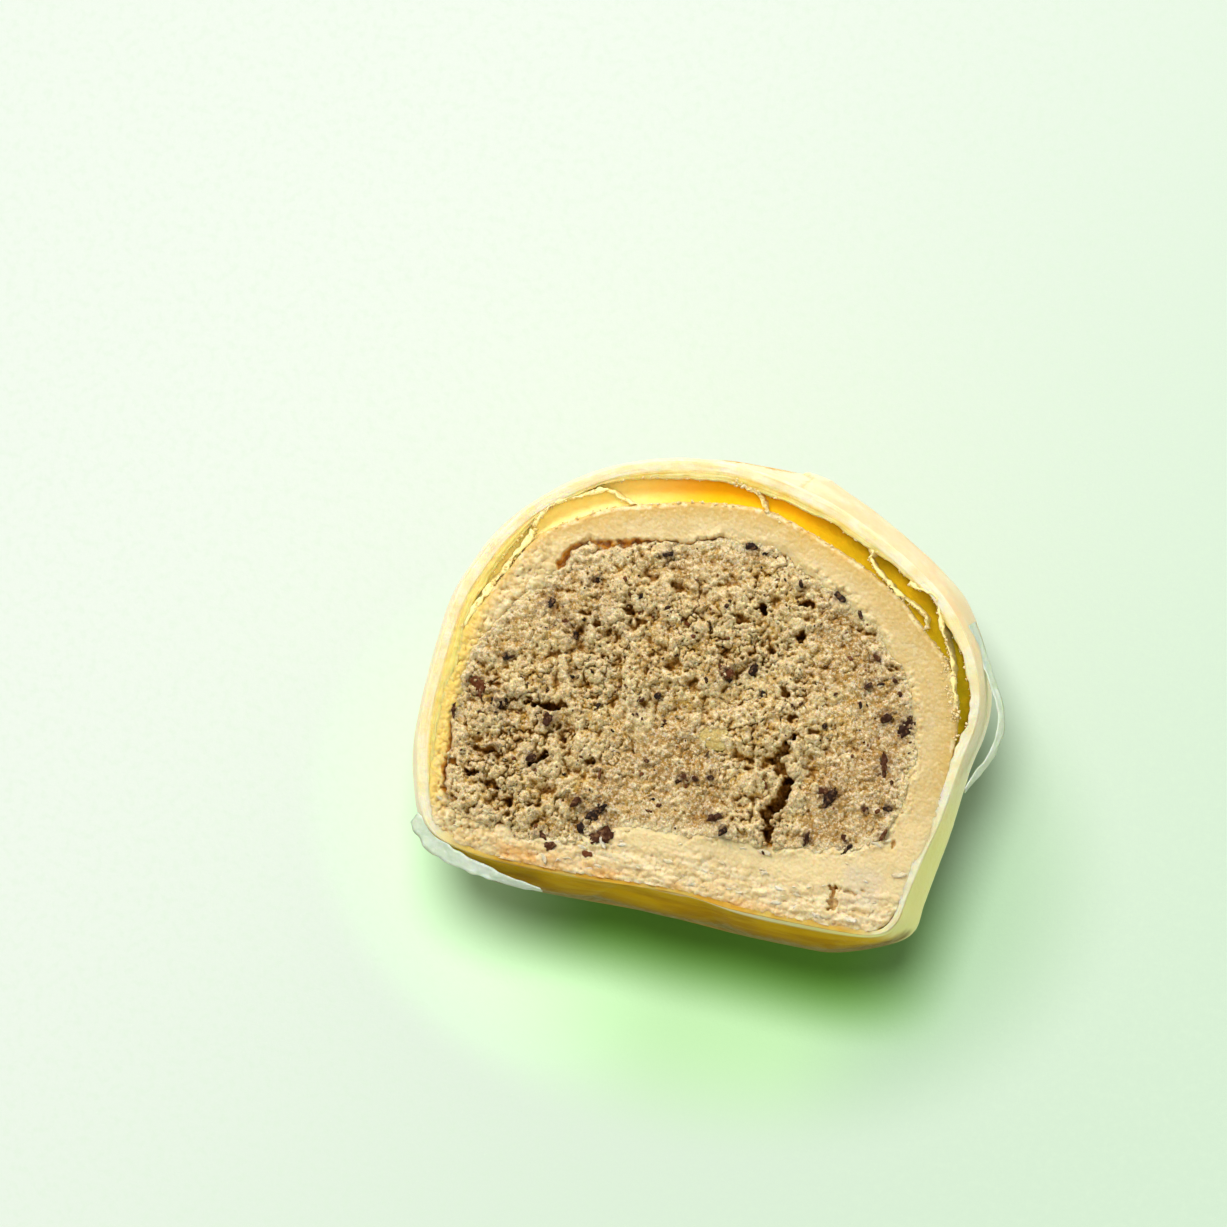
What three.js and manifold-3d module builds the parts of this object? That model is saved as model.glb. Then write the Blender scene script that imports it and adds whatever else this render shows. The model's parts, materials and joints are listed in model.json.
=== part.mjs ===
// Half of a baked flaky mooncake, cut open across its bun and lying on its rounded back with the cut face up.
// Millimetres. +X runs across the cut, +Y up the bun's own axis to its crown, and +Z out of the cut face.
// Two solids: the flaky crust with its puffed gap, and the bean filling that runs through it.
import * as THREE from "three";
import { mergeVertices } from "three/addons/utils/BufferGeometryUtils.js";
import Module from "manifold-3d";

const wasm = await Module();
wasm.setup();

// ---- Driving dimensions ----
const CUT_OFFSET = 6.9; // the knife passed this far in front of the bun's axis
const CROWN_HEIGHT = 44.4; // the bun's height on its axis
const BELLY_HEIGHT = 18; // height of the belly, from which the puffed skin lifts
const SKIN_LIFT = 1; // how far the skin puffs out behind the cut, at the upper right
const CORNER_BULGE = 0.9; // and how far it bulges at the lower right corner
const LIFT_DEPTH = 8; // depth at which it has puffed most
const LIFT_FADE = 24; // further depth over which it settles again
const LIFT_FROM = 22; // the puffed stretch by direction from the belly, in degrees from +X: it starts here,
const LIFT_FULL = 42; // is full here,
const LIFT_UNTIL = 72; // stays so until here,
const LIFT_END = 92; // and ends here
const CORNER_DIRECTION = -28; // the bulging corner's direction
const CORNER_REACH = 20;
const PRESSED_FLAT = 0.6; // how far the rounded back is pressed flat where it lies
const FIT_GAP = 0.3; // clearance between the crust and the filling
const LAYER = 0.55; // thickness of a free pastry layer
const BLOCK_DEPTH = 60; // deeper than the whole piece
const CRUST_RELIEF = { cell: 2.1, height: 0.22, seed: 4 }; // broken pastry
const PASTE_RELIEF = { cell: 1.5, height: 0.5, seed: 11 }; // crumbled paste
const FLECK_COUNT = 40;

// Outlines on the cut face, as [across, up], from the crown down to the base, each a smooth spline.
const OUTER_RIGHT = [
  [6.7, 42.1], [11.7, 40.3], [16.7, 37.9], [20.6, 35.3], [23.4, 32.4], [25.2, 29.6], [26.4, 25], [26, 20],
  [25.3, 14], [24.4, 9.6], [23.8, 6], [23.1, 3], [21.2, 1.5], [17, 1],
];
const OUTER_LEFT = [
  [-5.3, 43], [-10.7, 41.6], [-15.3, 39.5], [-20.2, 35.6], [-23.2, 31.7], [-25.4, 27], [-26.4, 21],
  [-26.6, 14.5], [-26.2, 9.6], [-25.2, 5.6], [-23.2, 2], [-20.4, 0.7], [-16, 0.4],
];
const BASE_HEIGHT = 0.8; // of the underside, on the bun's axis
const FILLING_TOP = 36.6;
const FILLING_FLOOR = 6.4;
const FILLING_RIGHT = [
  [7, 35], [13, 32.8], [17.3, 29], [20.4, 24], [21.5, 18], [20.3, 11.6], [16.8, 8.6], [9, 7.4],
];
const FILLING_LEFT = [
  [-5, 34.8], [-12.5, 32.6], [-17.8, 28.4], [-22, 21], [-23.6, 13.5], [-23, 7.8], [-20, 3.9], [-12, 3.6],
];
// The puffed gap: out along its outer side to the tip where it closes, and back along its inner side.
const GAP_TOP = 41.8;
const GAP_FLOOR = 39.9;
const GAP_RIGHT = [
  [6.8, 40.4], [13, 38], [18.8, 35.6], [22.6, 31.9], [25, 27], [25.2, 20.2],
  [24, 26.6], [21.3, 30.9], [17, 34.3], [11.5, 36.9], [5, 39],
];
const GAP_LEFT = [
  [-4.5, 41.1], [-9, 40.2], [-13, 39], [-16.8, 37], [-20, 33.8], [-21.6, 30.6],
  [-18.4, 33.4], [-15, 35.6], [-11.8, 37.2], [-8, 38.4], [-4, 39.3],
];

// Free layers that cross the gap, as paths on the cut face, and how deep each one runs.
const GAP_LAYERS = [
  { path: [[-1.6, 42.2], [0.8, 40.9], [1.9, 39.7], [3.4, 38.6]], depth: 13 },
  { path: [[-17, 38.2], [-13, 37.9], [-10.4, 37.4], [-8, 37.6]], depth: 9 },
  { path: [[12.6, 38.7], [13.2, 36.9], [15.6, 35.2], [18.6, 33.7], [19.8, 31.9]], depth: 10 },
  { path: [[18.4, 36.6], [20, 35.2], [21.3, 32.8], [22.4, 30], [22.8, 27.6]], depth: 12 },
];
// Torn skin that stands off the bun: on the right wall, and under the left corner of the base.
const WALL_FLAKE = [
  [22.8, 35.2], [25.7, 32.6], [27.6, 29.9], [28.7, 27], [29, 24.4], [28.3, 21.6], [26.6, 18.4],
];
const BASE_FLAKE = [[-24, 2.6], [-22, 0.1], [-19.6, -1], [-15.6, -1.3], [-11.6, -1.1], [-9.8, 0.4]];
const SKIN_FLAKES = [
  { path: WALL_FLAKE, from: 1.2, depth: 4.5 },
  { path: BASE_FLAKE, from: 1.6, depth: 5 },
];
// Cracks in the filling, as paths on the cut face.
const CRACKS = [
  { path: [[11, 19.4], [8.9, 17.2], [9.7, 14.6], [8.8, 12], [9.9, 9.4], [9.3, 8]], width: 1.3, depth: 3.2 },
  { path: [[-3.4, 29.2], [0.4, 30.3], [3.2, 30], [6.8, 31]], width: 0.8, depth: 2 },
];

// ---- Small helpers ----
// Repeatable pseudo-random number from 0 to 1 for a pair of whole numbers.
function hash(i, j) {
  const v = Math.sin(i * 127.1 + j * 311.7) * 43758.5453;
  return v - Math.floor(v);
}

const smooth = (t) => t * t * (3 - 2 * t);
const ramp = (value, from, to) => smooth(THREE.MathUtils.clamp((value - from) / (to - from), 0, 1));

// Smooth noise from -1 to 1 on the plane, with features about 1 unit across.
function noise(x, y) {
  const i = Math.floor(x);
  const j = Math.floor(y);
  const u = smooth(x - i);
  const v = smooth(y - j);
  const low = THREE.MathUtils.lerp(hash(i, j), hash(i + 1, j), u);
  const high = THREE.MathUtils.lerp(hash(i, j + 1), hash(i + 1, j + 1), u);
  return 2 * THREE.MathUtils.lerp(low, high, v) - 1;
}

function solid(geometry) {
  const bare = geometry.clone();
  bare.deleteAttribute("normal");
  bare.deleteAttribute("uv");
  const merged = mergeVertices(bare, 1e-4);
  return new wasm.Manifold(
    new wasm.Mesh({
      numProp: 3,
      vertProperties: new Float32Array(merged.attributes.position.array),
      triVerts: new Uint32Array(merged.index.array),
    }),
  );
}

function geometryOf(manifold) {
  const mesh = manifold.getMesh();
  const geometry = new THREE.BufferGeometry();
  geometry.setAttribute("position", new THREE.BufferAttribute(mesh.vertProperties, 3));
  geometry.setIndex(new THREE.BufferAttribute(mesh.triVerts, 1));
  geometry.computeVertexNormals();
  return geometry;
}

// ---- Turned bodies ----
// A profile from one end of the bun's axis to the other, through points given on the cut face.
function profile(top, points, bottom) {
  const turned = points.map(([x, y]) => new THREE.Vector3(Math.hypot(x, CUT_OFFSET), y, 0));
  const all = [new THREE.Vector3(0, top, 0), ...turned, new THREE.Vector3(0, bottom, 0)];
  return new THREE.CatmullRomCurve3(all, false, "centripetal");
}

// How far the skin has puffed out at a depth, seen in a direction from the belly.
function skinLift(x, y, depth) {
  const along = ramp(depth, 0, LIFT_DEPTH) * (1 - ramp(depth, LIFT_DEPTH, LIFT_DEPTH + LIFT_FADE));
  const direction = THREE.MathUtils.radToDeg(Math.atan2(y - BELLY_HEIGHT, x));
  const upperRight = ramp(direction, LIFT_FROM, LIFT_FULL) * (1 - ramp(direction, LIFT_UNTIL, LIFT_END));
  const corner = Math.exp(-(((direction - CORNER_DIRECTION) / CORNER_REACH) ** 2));
  return along * (SKIN_LIFT * upperRight + CORNER_BULGE * corner);
}

// Evenly spaced points of a profile, moved outwards along its normals by the growth asked for.
function profilePoints(curve, rings, grow) {
  const points = curve.getSpacedPoints(rings);
  return points.map((p, i) => {
    if (i === 0 || i === rings) return new THREE.Vector2(0, p.y + (i ? -grow : grow));
    const normal = new THREE.Vector2(points[i - 1].y - points[i + 1].y, points[i + 1].x - points[i - 1].x);
    return normal.setLength(grow).add(new THREE.Vector2(p.x, p.y));
  });
}

// A closed body round the bun's axis whose profile turns from right at azimuth 0 into left at azimuth 180.
function turnedBody(right, left, { rings, turns, lifted = 0, wobble = 0, grow = 0 }) {
  const rightPoints = profilePoints(right, rings, grow);
  const leftPoints = profilePoints(left, rings, grow);
  const positions = [];
  const place = (ring, azimuth) => {
    const share = (1 - Math.cos(azimuth)) / 2;
    const p = rightPoints[ring].clone().lerp(leftPoints[ring], share);
    const across = p.x === 0 ? 0 : p.x + wobble * noise(azimuth * 3.2 + 9, ring * 0.35);
    const x = across * Math.cos(azimuth);
    const depth = CUT_OFFSET + across * Math.sin(azimuth);
    const radius = Math.hypot(x, p.y - BELLY_HEIGHT) || 1;
    const lift = (lifted * skinLift(x, p.y, depth)) / radius;
    const rise = Math.max(0, p.y - BELLY_HEIGHT) * lift; // the underside stays flat
    positions.push(x * (1 + lift), p.y + rise, -depth);
  };
  place(0, 0);
  for (let ring = 1; ring < rings; ring++) {
    for (let turn = 0; turn < turns; turn++) place(ring, (turn / turns) * 2 * Math.PI);
  }
  place(rings, 0);
  const index = [];
  const at = (ring, turn) => 1 + (ring - 1) * turns + (turn % turns);
  const last = 1 + (rings - 1) * turns;
  for (let turn = 0; turn < turns; turn++) {
    index.push(0, at(1, turn), at(1, turn + 1));
    index.push(last, at(rings - 1, turn + 1), at(rings - 1, turn));
    for (let ring = 1; ring < rings - 1; ring++) {
      index.push(at(ring, turn), at(ring + 1, turn), at(ring + 1, turn + 1));
      index.push(at(ring, turn), at(ring + 1, turn + 1), at(ring, turn + 1));
    }
  }
  const geometry = new THREE.BufferGeometry();
  geometry.setAttribute("position", new THREE.Float32BufferAttribute(positions, 3));
  geometry.setIndex(index);
  return solid(geometry);
}

// ---- Strips: layers, flakes and cracks drawn as a path on the cut face and carried down into the bun ----
function strip(path, width, from, depth) {
  const points = path.map(([x, y]) => new THREE.Vector3(x, y, 0));
  const line = new THREE.CatmullRomCurve3(points, false, "centripetal");
  const steps = path.length * 3;
  const centre = line.getSpacedPoints(steps);
  const side = (sign) =>
    centre.map((p, i) => {
      const before = centre[Math.max(0, i - 1)];
      const after = centre[Math.min(steps, i + 1)];
      const normal = new THREE.Vector2(before.y - after.y, after.x - before.x).normalize();
      const half = (width / 2) * (0.75 + 0.25 * noise(i * 0.9, sign * 7));
      return new THREE.Vector2(p.x + sign * half * normal.x, p.y + sign * half * normal.y);
    });
  const shape = new THREE.Shape([...side(1), ...side(-1).reverse()]);
  const geometry = new THREE.ExtrudeGeometry(shape, { depth, bevelEnabled: false, curveSegments: 1 });
  geometry.translate(0, 0, -from - depth);
  return solid(geometry);
}

// ---- The cut: a block whose top face has the relief of broken pastry or crumbled paste ----
function cutBlock({ cell, height: relief, seed }) {
  const width = 64;
  const height = 52;
  const below = 4;
  const columns = Math.round(width / cell);
  const rows = Math.round(height / cell);
  const geometry = new THREE.BoxGeometry(width, height, BLOCK_DEPTH, columns, rows, 1);
  geometry.translate(0, height / 2 - below, -BLOCK_DEPTH / 2);
  const position = geometry.attributes.position;
  for (let i = 0; i < position.count; i++) {
    const x = position.getX(i);
    const y = position.getY(i);
    if (position.getZ(i) < -1) continue;
    const coarse = noise(x / 5 + seed, y / 5);
    const fine = noise(x / cell / 1.3, y / cell / 1.3 + seed);
    position.setZ(i, relief * (0.45 * coarse + 0.55 * fine) - relief);
  }
  return solid(geometry);
}

// Dark flecks of the filling that stand a little proud of the cut, scattered by a seeded rule.
function darkFlecks(count) {
  const flecks = [];
  for (let i = 0; flecks.length < count; i++) {
    const x = THREE.MathUtils.lerp(-21, 19, hash(i, 1));
    const y = THREE.MathUtils.lerp(5, 35, hash(i, 2));
    if (((x + 1) / 20) ** 2 + ((y - 20) / 14) ** 2 > 1) continue;
    const size = 0.55 + 0.45 * hash(i, 3);
    const chip = new THREE.OctahedronGeometry(size);
    chip.scale(1, 0.55, 0.7);
    chip.rotateZ(Math.PI * hash(i, 5));
    chip.rotateX(0.6 * hash(i, 7));
    chip.translate(x, y, -0.35);
    flecks.push(solid(chip));
  }
  return flecks;
}

// ---- The two solids ----
const outerRight = profile(CROWN_HEIGHT, OUTER_RIGHT, BASE_HEIGHT);
const outerLeft = profile(CROWN_HEIGHT, OUTER_LEFT, BASE_HEIGHT);
const outer = turnedBody(outerRight, outerLeft, {
  rings: 26,
  turns: 68,
  lifted: 1,
  wobble: 0.2,
});
const fillingRight = profile(FILLING_TOP, FILLING_RIGHT, FILLING_FLOOR);
const fillingLeft = profile(FILLING_TOP, FILLING_LEFT, FILLING_FLOOR);
const pasteShape = { rings: 16, turns: 40 };
const paste = turnedBody(fillingRight, fillingLeft, pasteShape);
const pocket = turnedBody(fillingRight, fillingLeft, { ...pasteShape, grow: FIT_GAP * 1.25 });
const gap = turnedBody(profile(GAP_TOP, GAP_RIGHT, GAP_FLOOR), profile(GAP_TOP, GAP_LEFT, GAP_FLOOR), {
  rings: 24,
  turns: 40,
  lifted: 1,
});

function makeCrust() {
  let hollow = gap;
  for (const { path, depth } of GAP_LAYERS) hollow = hollow.subtract(strip(path, LAYER, -1, depth + 1));
  let crust = outer.subtract(pocket).subtract(hollow);
  for (const { path, from, depth } of SKIN_FLAKES) crust = crust.add(strip(path, LAYER, from, depth));
  return crust.intersect(cutBlock(CRUST_RELIEF));
}

function makeFilling() {
  let filling = paste.intersect(cutBlock(PASTE_RELIEF));
  for (const { path, width, depth } of CRACKS) filling = filling.subtract(strip(path, width, -1, depth + 1));
  for (const fleck of darkFlecks(FLECK_COUNT)) filling = filling.add(fleck);
  return filling;
}

// Keeps the one body that matters and drops the loose scraps a cut leaves.
function largest(manifold) {
  return manifold.decompose().reduce((a, b) => (a.volume() > b.volume() ? a : b));
}

// ---- Lay it down: press the back flat and stand the bounding box's bottom centre on the origin ----
const whole = makeCrust();
const lowest = whole.boundingBox().min[2] + PRESSED_FLAT;
const aboveFloor = solid(new THREE.BoxGeometry(90, 90, 80).translate(0, 20, 40 + lowest));
const crust = largest(whole.intersect(aboveFloor));
const filling = largest(makeFilling());
const box = crust.boundingBox();

const group = new THREE.Group();
const pastry = new THREE.MeshStandardMaterial({ color: 0xf0dc9c, roughness: 0.6, metalness: 0 });
const beanPaste = new THREE.MeshStandardMaterial({ color: 0xbba474, roughness: 0.85, metalness: 0 });
const pieces = [
  ["crust", crust, pastry],
  ["filling", filling, beanPaste],
];
for (const [name, manifold, material] of pieces) {
  const mesh = new THREE.Mesh(geometryOf(manifold), material);
  mesh.name = name;
  mesh.position.set(-(box.min[0] + box.max[0]) / 2, -(box.min[1] + box.max[1]) / 2, -lowest);
  group.add(mesh);
}

export default group;
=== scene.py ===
"""The looks of a flaky mooncake half that lies on its rounded back with the cut face up.

Shapes are worked out in millimetres on the cut face: x across it, y up the bun's axis, z out of the face.
Depth below the cut is -z. place() takes such points into the frame, in metres.
"""

import json
import math

import bmesh
import bpy
import numpy as np
from mathutils import Matrix, Vector

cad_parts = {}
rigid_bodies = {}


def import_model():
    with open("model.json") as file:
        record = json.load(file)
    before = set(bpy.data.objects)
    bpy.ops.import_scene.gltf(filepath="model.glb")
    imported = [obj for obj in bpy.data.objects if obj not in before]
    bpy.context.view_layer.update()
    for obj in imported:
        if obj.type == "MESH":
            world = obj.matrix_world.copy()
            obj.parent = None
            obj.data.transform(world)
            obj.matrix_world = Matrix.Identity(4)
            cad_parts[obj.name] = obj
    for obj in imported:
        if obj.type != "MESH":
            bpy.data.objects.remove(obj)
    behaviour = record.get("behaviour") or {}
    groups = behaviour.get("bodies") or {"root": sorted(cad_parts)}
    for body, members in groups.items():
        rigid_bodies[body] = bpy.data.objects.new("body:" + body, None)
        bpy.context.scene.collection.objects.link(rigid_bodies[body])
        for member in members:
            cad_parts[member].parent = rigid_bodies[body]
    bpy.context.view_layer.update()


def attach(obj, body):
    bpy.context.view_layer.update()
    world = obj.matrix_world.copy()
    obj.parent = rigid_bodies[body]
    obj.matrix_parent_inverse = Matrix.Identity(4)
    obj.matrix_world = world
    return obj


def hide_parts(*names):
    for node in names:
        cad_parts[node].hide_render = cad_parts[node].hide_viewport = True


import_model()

# ---- Sizes, in millimetres ----
CUT_ORIGIN = np.array([-0.9066, -21.4404, 33.6412])  # the cut face's own origin, in the row's frame
AXIS_DEPTH = 6.9  # the bun's axis lies this far behind the cut
BELLY = 18.0  # height of the belly
BELLY_RADIUS = 26.5  # half width of the cut there
SKIN_LIFT = 1.0  # how far the skin puffs out behind the cut, at the upper right
CORNER_BULGE = 0.9  # and how far it bulges at the lower right corner
CROWN = 44.4  # height of the bun on its axis
BASE = 0.8  # height of its underside there
BASE_BULGE = 1.85  # how far the underside bulges behind the cut
PASTE_CORNERS = (-24.8, 1.6), (23.2, 38.2)  # grids of the crumbled cut surfaces
PASTE_STEP = 0.112
DOUGH_CORNERS = (-26.2, -0.4), (26.8, 41.0)
DOUGH_STEP = 0.1

# ---- Outlines on the cut face, as closed smooth curves through these points ----
BUN_EDGE = [
    (6.7, 42.1), (11.7, 40.3), (16.7, 37.9), (20.6, 35.3), (23.4, 32.4), (25.2, 29.6), (26.3, 26.6),
    (26.5, 23.6), (26.0, 20), (25.3, 14), (24.4, 9.6), (23.8, 6), (23.3, 3.2), (21.6, 1.7), (17.8, 1.2),
    (8, 0.9), (1.8, 1.2), (-8, 0.5), (-16, 0.3), (-20.8, 0.8), (-23.2, 1.9), (-24.6, 4), (-25.5, 6.6),
    (-26.3, 10.2), (-26.6, 14.5), (-26.4, 21), (-25.9, 25), (-24.9, 28), (-23.2, 31.7), (-20.2, 35.6),
    (-15.3, 39.5), (-10.7, 41.7), (-5.3, 43.1), (0, 43.3),
]
DOUGH_EDGE = [
    (24.4, 25), (23.4, 27.5), (22.2, 29.4), (18.8, 32.2), (16.8, 34), (12.8, 36.1), (6.8, 38.3),
    (2.2, 39.5),
    (-2.2, 39.3), (-6, 38.6), (-10, 37.4), (-13.3, 36.3), (-16.3, 34.5), (-18.5, 33), (-20.1, 31),
    (-21.7, 27.9), (-23, 25), (-24.3, 21), (-24.7, 14), (-24.2, 8), (-23.1, 4.2), (-20.8, 2.1), (-16, 1.2),
    (-8, 1.1), (1.8, 1.9), (8, 1.6), (17.8, 1.9), (20.9, 2.6), (22.5, 5), (23, 8), (24, 12), (24.7, 17),
    (25, 20.5),
]
PASTE_EDGE = [
    (-23.4, 14.5), (-22.8, 9), (-22.3, 4.9), (-19.3, 3.5), (-13.3, 3.2), (-8.3, 4.3), (-3.3, 6.4), (1.7, 7.1),
    (6.7, 7.8), (9.8, 7.6), (14.7, 8.5), (18.8, 9.9), (20.8, 12.2), (21.4, 16), (21.4, 20), (19.8, 25),
    (16.3, 29.7), (13.2, 31.9), (10.2, 33.5), (6.7, 35), (2.7, 36.3), (-2.3, 35.9), (-6.3, 34.6),
    (-10.3, 33.5), (-13.8, 32.6), (-16.1, 31), (-17.6, 28.3), (-20.8, 24), (-22.8, 20),
]
# Thickness of the outer shell by direction from the belly's middle, in degrees from +x.
SHELL_THICKNESS = [  # direction, thickness
    (-180, 2.1), (-160, 1.9), (-134, 0.5), (-46, 0.5), (-30, 0.6), (-8, 0.9), (25, 1), (45, 1.2), (60, 1.5),
    (75, 1.9), (90, 2.1), (108, 2), (118, 1.6), (125, 1.3), (134, 1.3), (142, 1.5), (150, 1.9), (165, 2.1),
    (180, 2.2),
]
RIM_WIDTH = 1.0  # the plain outer part of the shell's cut

# ---- Cracks and pits of the paste ----
CRACKS = [  # path, half width, depth
    ([(10.1, 14.6), (9.6, 12.5), (8.8, 11), (9.2, 9), (9.7, 7.4)], 0.6, 2.4),
    ([(9.6, 18.8), (8.5, 16.2), (10.1, 14.6)], 0.45, 1.6),
    ([(-22.6, 8.8), (-20.8, 8.1), (-19.4, 8.2)], 0.5, 1.6),
    ([(2.2, 30), (3.8, 30.4), (6, 30.9), (8, 31.8)], 0.3, 1.5),
    ([(-13.9, 11.8), (-14.2, 10.8), (-14.9, 10.3)], 0.3, 1.8),
    ([(-16.5, 16.1), (-14, 16.2), (-12.5, 16.8)], 0.25, 1.3),
]
SEAM_OPENINGS = [  # path, and how far each side draws back
    ([(-16.4, 30.4), (-14.6, 32.2), (-12.4, 33.1), (-9.4, 33.9)], 0.6),
    ([(-9.4, 33.9), (-6.3, 34.7), (-2.3, 35.8)], 0.22),
    ([(-23.3, 11.5), (-22.9, 9), (-22.6, 6.6)], 0.4),
]
PITS = [  # x, y, half width, half height, depth
    (9, 20, 0.7, 0.5, 1.5), (11.2, 19.6, 0.6, 0.4, 1.4), (7.7, 22.7, 0.6, 0.4, 1.4),
    (7.9, 28.5, 0.5, 0.6, 1.9), (3.7, 30.2, 1.1, 0.45, 1.8), (2, 28.8, 0.8, 0.5, 1.6),
    (-9.2, 27.1, 1.2, 0.5, 2), (-13.2, 25.8, 0.6, 0.4, 1.5), (-11.8, 25.2, 0.7, 0.5, 1.6),
    (-16.2, 6.4, 1.2, 0.7, 1.8), (-18.4, 7.4, 0.9, 0.6, 1.7), (-9.2, 11.8, 0.6, 0.5, 1.8),
    (-12.2, 13.3, 0.6, 0.35, 1.4), (-14.2, 16.2, 1.6, 0.4, 1.3), (-20.2, 17, 0.9, 0.35, 1.3),
    (-19.5, 10.4, 1.5, 0.5, 1.3), (-21.9, 5.2, 0.8, 0.4, 1.4), (0.8, 25.3, 0.8, 0.4, 1.2),
    (14.5, 30.2, 0.9, 0.3, 1), (17.8, 27.4, 0.9, 0.4, 1.2), (5.4, 26.4, 0.7, 0.3, 1.1),
    (-7.4, 26.3, 0.7, 0.4, 1.5), (-4.6, 30.4, 0.9, 0.5, 1.4), (5.9, 14.6, 0.6, 0.3, 1.1),
]
# Where the paste broke into coarse clumps, as x, y and reach. Elsewhere the knife pressed it finer.
COARSE_SPOTS = [
    (-16, 14, 7.5), (-10, 26, 6), (-17, 7, 5), (8, 17, 4.5), (4, 29, 5), (-2, 24, 5), (8, 10, 3.5),
]
# Where it is browner, in the same terms.
BROWN_SPOTS = [
    (-2, 11.5, 5), (-8, 8, 4), (13, 11, 4.5), (17, 16, 5), (-13, 25, 4.5), (-19, 10, 4), (12, 27, 4.5),
    (-6, 31, 4),
]

# ---- Dough, gap and torn skin ----
BASE_CRACK = [(16.2, 5.4), (16.7, 4.9), (16.6, 4.2), (17.0, 3.7), (16.7, 3.1)]
BASE_PITS = [(18.0, 5.2, 0.9, 0.25, 0.6), (19.4, 5.6, 0.5, 0.2, 0.4), (21.3, 10.2, 0.25, 0.8, 0.6)]
FLOOR_DEPTHS = 0.5, 1.2, 1.8, 2.5, 3.2, 4, 5, 6  # rows of the gap's floor
FLOOR_START = 16  # the gap runs above this height
GAP_SLOPE = 1.0  # how far the gap's floor leans out, for each mm of depth
GAP_MEMBRANES = [  # path, thickness, top, bottom
    ([(-2.2, 42), (-0.5, 41.4), (0.8, 41), (1.75, 40), (2.1, 39.4), (3.6, 38.8)], 0.3, -0.1, -7),
    ([(-20.2, 33), (-19.6, 34.2), (-18.6, 35.5), (-16.6, 36.8), (-14.4, 37.9), (-13.2, 37.9),
      (-11.9, 37.5), (-9.6, 37.2)], 0.3, 0, -5),
    ([(12.2, 38.5), (12.95, 37.8), (12.65, 37.4), (13.75, 36.2), (15.8, 34.8), (18, 33.8),
      (19.3, 33), (19.8, 31.8)], 0.3, 0, -6),
    ([(17, 35.8), (17.8, 35.5), (19.8, 35.1), (20.6, 33.3), (21.6, 31.3), (22.4, 30),
      (23.1, 28.5), (24.1, 25)], 0.36, 0.1, -7),
    ([(-24.6, 21.8), (-23.8, 24), (-22.7, 26.6), (-21.4, 29.1), (-20.4, 31.2), (-19.9, 32.6)],
     0.42, 0.08, -3),
]
CRUMB_HEAP = [(24.4, 23.5), (23.7, 25.5), (22.9, 27.4), (21.9, 29.2)]  # in the gap's right end
TORN_FLAKES = [  # inner edge, outer edge, height of each, thickness
    ([(23.6, 33.2), (25.1, 30.9), (26.6, 28.6), (28.1, 26), (28.6, 24), (28.5, 22.3), (28.2, 20.9),
      (27.6, 19.7), (26.9, 17.6)],
     [(24.1, 33.8), (25.7, 31.3), (27.1, 29), (28.6, 26.4), (29.2, 24.2), (29, 22), (28.6, 20.6),
      (28, 19.4), (26.9, 17.2)], -1.2, -2.4, 0.12),
    ([(-24.6, 3.2), (-22.6, 1.6), (-21, 0.7), (-18.6, -0.1), (-15.2, -0.8), (-12.6, -1.2), (-11.2, -1.4)],
     [(-25.3, 2), (-23.6, 0.3), (-21.9, -0.6), (-19.2, -1.3), (-17, -1.6), (-13, -1.7), (-11, -1.6)],
     -0.9, -1.9, 0.12),
]
# Where the outermost skin ends behind the crown, as depth and x.
TORN_EDGE = [(0, 4.8), (3, 5.4), (6, 4.4), (10, 6.8), (15, 5.2), (22, 7.6)]

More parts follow.
